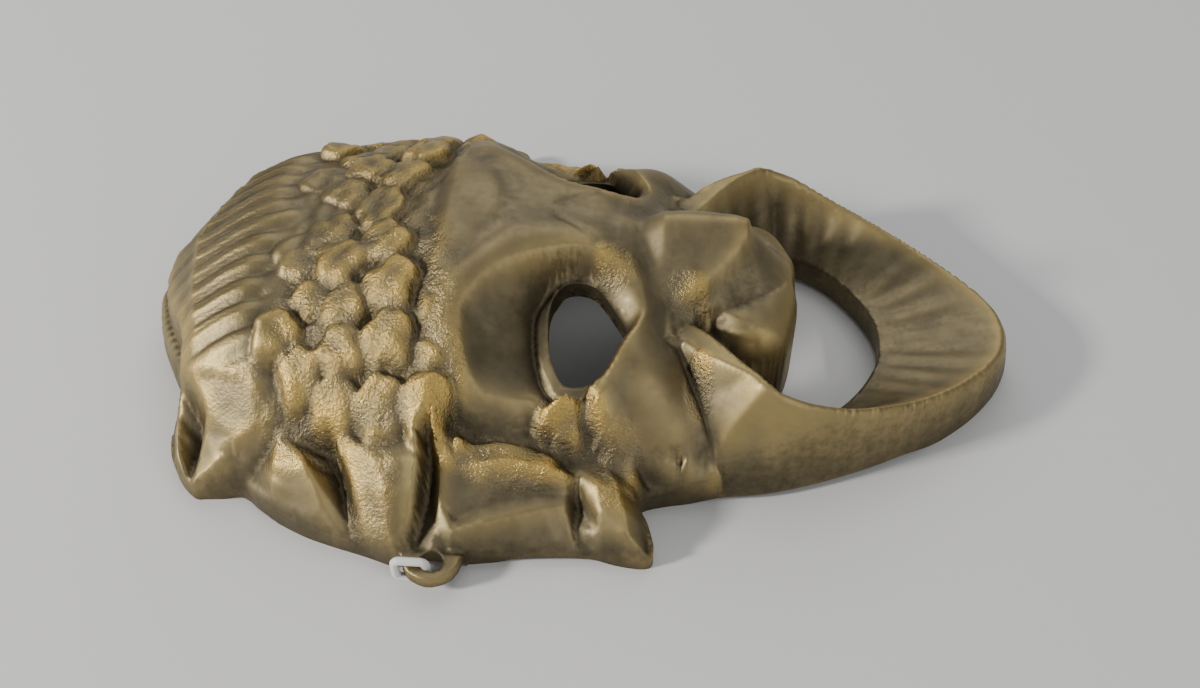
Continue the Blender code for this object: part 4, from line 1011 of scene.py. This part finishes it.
def cord_loop():
    """The cord as a closed tube along its middle line."""
    path = cord_path()
    points = []
    faces = []
    for i, (spot, out) in enumerate(zip(path, sideways(path))):
        for k in range(CORD_SIDES):
            a = 2 * math.pi * k / CORD_SIDES
            along_u, up = spot + out * CORD_RADIUS * math.cos(a)
            points.append((along_u * MM, (-CORD_ACROSS + CORD_RADIUS * math.sin(a)) * MM, up * MM))
            j = (i + 1) % len(path)
            m = (k + 1) % CORD_SIDES
            faces.append((i * CORD_SIDES + m, j * CORD_SIDES + m, j * CORD_SIDES + k, i * CORD_SIDES + k))
    mesh = bpy.data.meshes.new("cord_loop")
    mesh.from_pydata(points, [], faces)
    mesh.shade_smooth()
    return put("cord_tie", mesh)


cord = cord_loop()
loop = cord_path()
around = float(np.hypot(*(np.roll(loop, -1, axis=0) - loop).T).sum())
print("cord loop length in mm:", round(around, 1))

# %% [markdown]
# Helpers for finishes
#
# Colours are written as the eye sees them, in sRGB hex, and turned into the linear values that light needs.
# One function adds a node, sets it and links it, so that each finish below reads from top to bottom.

# %% Finish helpers
def linear(hex_colour):
    """An sRGB hex colour as linear RGBA."""
    parts = [int(hex_colour[i:i + 2], 16) / 255 for i in (1, 3, 5)]
    return tuple(c / 12.92 if c <= 0.04045 else ((c + 0.055) / 1.055) ** 2.4 for c in parts) + (1.0,)


def add_node(tree, kind, inputs, out=0, **settings):
    """Adds a node and returns one output. Each input is a value to set or a socket to link."""
    made = tree.nodes.new("ShaderNode" + kind)
    for name, value in settings.items():
        setattr(made, name, value)
    for key, value in inputs.items():
        if isinstance(value, bpy.types.NodeSocket):
            tree.links.new(value, made.inputs[key])
        else:
            made.inputs[key].default_value = value
    return made.outputs[out]


def new_finish(name):
    """An empty finish: its node tree and its shader."""
    finish = bpy.data.materials.new(name)
    finish.use_nodes = True
    return finish, finish.node_tree, finish.node_tree.nodes["Principled BSDF"]


print("mid grey as linear:", [round(c, 3) for c in linear("#808080")])

# %% [markdown]
# Sand-cast brass, filed, rubbed and aged
#
# Brass is copper with zinc. New, it is a clear yellow metal; with age a thin olive-brown oxide grows over
# it. The high faces here were filed and rubbed with fine abrasive, so they are satin and keep the yellow.
# The cast skin in the recesses is rough at the scale of moulding sand, about half a millimetre, and its
# grains catch gold points of light. They are drawn at 0.9 mm, because finer ones don't show. A gold colour
# is also mixed in on the rough high points as a painted highlight, and folds get dirt and painted shade.
# Each noise below is its size in millimetres, its detail and its roughness. A metal keeps the default IOR:
# its colour is the base colour alone.

# %% Brass
BRUSH_LINE_MM = 0.5
MOTTLE = (9.0, 3.0, 0.6)
STAIN = (2.2, 4.0, 0.65)
SAND_GRAIN = (0.9, 3.0, 0.6)
NOISES = (MOTTLE, STAIN, SAND_GRAIN)
SATIN_ROUGHNESS = (0.46, 0.58)
ROUGHER_IN_DIRT = 0.1
SMOOTHER_IN_GLINTS = -0.27
BRASS_SATIN = "#8A7E61"
BRASS_BRIGHT = "#C9B072"
BRASS_PAINTED_GLINT = "#D0AE60"
BRASS_OXIDE = "#726954"
BRASS_DIRT_AND_SHADE = "#544C3D"


def aged_brass():
    """Satin brass under an oxide film, bright where worn, a painted gold highlight on rough high points, and
    dirt and painted shade in folds.
    """
    finish, tree, shader = new_finish("sand-cast brass, filed, rubbed and aged")
    place = add_node(tree, "TexCoord", {}, out="Object")
    recess, worn, as_cast = (add_node(tree, "Attribute", {}, out="Fac", attribute_name=name)
                             for name in ("recess", "worn", "as_cast"))
    mottle, stain, sand = (add_node(tree, "TexNoise", {"Vector": place, "Scale": 1 / (size * MM),
                                                       "Detail": detail, "Roughness": rough})
                           for size, detail, rough in NOISES)

    film = add_node(tree, "MapRange", {"Value": mottle, "From Min": 0.35, "From Max": 0.68})
    bright = add_node(tree, "Math", {0: worn, 1: 0.5}, operation="MULTIPLY")
    # Painted highlight: a gold glint colour on rough high points, where the cast skin stands out.
    painted_glint = add_node(tree, "Math", {0: as_cast, 1: worn}, operation="MULTIPLY")
    # Dirt and painted shade: random stains plus the recess value, which darkens folds and hollows as shade
    # would.
    dirt_and_painted_shade = add_node(tree, "Math", {0: stain, 1: 0.5}, operation="SUBTRACT")
    dirt_and_painted_shade = add_node(tree, "Math", {0: dirt_and_painted_shade, 1: recess}, operation="ADD")
    dirt_and_painted_shade = add_node(tree, "MapRange", {"Value": dirt_and_painted_shade, "From Min": 0.17, "From Max": 0.95, "To Max": 0.8})
    layers = ((film, BRASS_OXIDE), (bright, BRASS_BRIGHT), (painted_glint, BRASS_PAINTED_GLINT), (dirt_and_painted_shade, BRASS_DIRT_AND_SHADE))
    skin = linear(BRASS_SATIN)
    for share, colour in layers:
        skin = add_node(tree, "Mix", {0: share, 6: skin, 7: linear(colour)}, out=2, data_type="RGBA")

    glints = add_node(tree, "MapRange", {"Value": stain, "From Min": 0.42, "From Max": 0.62})
    glints = add_node(tree, "Math", {0: glints, 1: as_cast}, operation="MULTIPLY")
    gloss = add_node(tree, "MapRange", {"Value": stain, "From Min": 0.3, "From Max": 0.7,
                                        "To Min": SATIN_ROUGHNESS[0], "To Max": SATIN_ROUGHNESS[1]})
    for share, change in ((dirt_and_painted_shade, ROUGHER_IN_DIRT), (glints, SMOOTHER_IN_GLINTS)):
        gloss = add_node(tree, "Math", {0: share, 1: change, 2: gloss}, operation="MULTIPLY_ADD")

    brushed = add_node(tree, "Mapping", {"Vector": place, "Scale": (0.14, 1.0, 1.0)})
    lines = add_node(tree, "TexNoise", {"Vector": brushed, "Scale": 1 / (BRUSH_LINE_MM * MM), "Detail": 2.0})
    grain = add_node(tree, "Math", {0: sand, 1: as_cast}, operation="MULTIPLY")
    below = {}
    for height, strength, depth in ((lines, 0.25, 0.05), (grain, 0.9, 0.6), (mottle, 0.15, 0.5)):
        bump = {"Height": height, "Strength": strength, "Distance": depth * MM, **below}
        below = {"Normal": add_node(tree, "Bump", bump)}
    shader.inputs["Metallic"].default_value = 1.0
    tree.links.new(skin, shader.inputs["Base Color"])
    tree.links.new(gloss, shader.inputs["Roughness"])
    tree.links.new(below["Normal"], shader.inputs["Normal"])
    return finish


mask.data.materials.append(aged_brass())
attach(mask, "root")
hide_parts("mask")
print("mask finish:", mask.data.materials[0].name)

# %% [markdown]
# White nylon cord
#
# Nylon is a little see-through and slightly glossy, with an IOR of 1.53. A trace of scattering under the
# surface keeps it from looking like painted metal, and fine lines along it stand for the drawn filament.

# %% Nylon
FILAMENT_MM = 0.25
NYLON_DARK = "#D9D8D0"
NYLON_PALE = "#F2F1EC"


def nylon():
    """Off-white cord with fine lines along it."""
    finish, tree, shader = new_finish("white nylon cord, drawn")
    place = add_node(tree, "TexCoord", {}, out="Object")
    fibre = add_node(tree, "TexNoise", {"Vector": place, "Scale": 1 / (FILAMENT_MM * MM), "Detail": 2.0})
    tone = add_node(tree, "Mix", {0: fibre, 6: linear(NYLON_DARK), 7: linear(NYLON_PALE)}, out=2,
                    data_type="RGBA")
    bump = add_node(tree, "Bump", {"Height": fibre, "Strength": 0.3, "Distance": 0.05 * MM})
    shader.inputs["IOR"].default_value = 1.53
    shader.inputs["Roughness"].default_value = 0.42
    shader.inputs["Subsurface Weight"].default_value = 0.15
    shader.inputs["Subsurface Radius"].default_value = (MM, MM, MM)
    tree.links.new(tone, shader.inputs["Base Color"])
    tree.links.new(bump, shader.inputs["Normal"])
    return finish


cord.data.materials.append(nylon())
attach(cord, "root")
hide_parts("cord_loop")
print("cord finish:", cord.data.materials[0].name)

# %% [markdown]
# A plain pale floor
#
# The mask lies on something pale and matt, which lights it from below and takes its shadow.

# %% Floor
FLOOR_HALF = 3.0
FLOOR_GREY = "#DDDDDB"
mesh = bpy.data.meshes.new("floor")
corners = [(x * FLOOR_HALF, y * FLOOR_HALF, 0) for x, y in ((-1, -1), (1, -1), (1, 1), (-1, 1))]
mesh.from_pydata(corners, [], [(0, 1, 2, 3)])
floor = put("floor", mesh)
matt, tree, shader = new_finish("pale matt floor")
shader.inputs["Base Color"].default_value = linear(FLOOR_GREY)
shader.inputs["Roughness"].default_value = 0.9
floor.data.materials.append(matt)
print("floor is", 2 * FLOOR_HALF, "m across")

# %% [markdown]
# A low lamp on the crown's side, and soft light from above and from the right
#
# The photograph's shadows fall past the chin and away from the camera, about twice as long as the rim is
# high, so one lamp stands low on the crown's side, a little in front. A wide soft panel above and behind
# shows in the faces that look up, and a second one at the right shows in the cheek and the jaw. The brass
# mirrors a dim grey room in its dark faces.

# %% Lights
LAMP_PLACE = Vector((-0.825, -0.366, 0.46)).normalized() * 1.3
ROOM_GREY = "#B9BDC4"
ROOM_STRENGTH = 0.54


def add_panel(name, place, size, power, colour):
    """A square panel of light that looks at the mask."""
    light = bpy.data.lights.new(name, "AREA")
    light.size, light.energy, light.color = size, power, colour
    made = put(name, light)
    made.location = place
    made.rotation_euler = (-Vector(place)).to_track_quat("-Z", "Y").to_euler()


add_panel("lamp", LAMP_PLACE, 0.16, 15.0, (1.0, 0.97, 0.92))
add_panel("panel_above", (0.0, 0.9, 1.2), 1.5, 9.0, (1.0, 0.99, 0.97))
add_panel("panel_right", (0.85, -0.95, 0.8), 1.2, 6.0, (1.0, 0.98, 0.95))
room = bpy.data.worlds.new("room")
room.use_nodes = True
room.node_tree.nodes["Background"].inputs["Color"].default_value = linear(ROOM_GREY)
room.node_tree.nodes["Background"].inputs["Strength"].default_value = ROOM_STRENGTH
bpy.context.scene.world = room
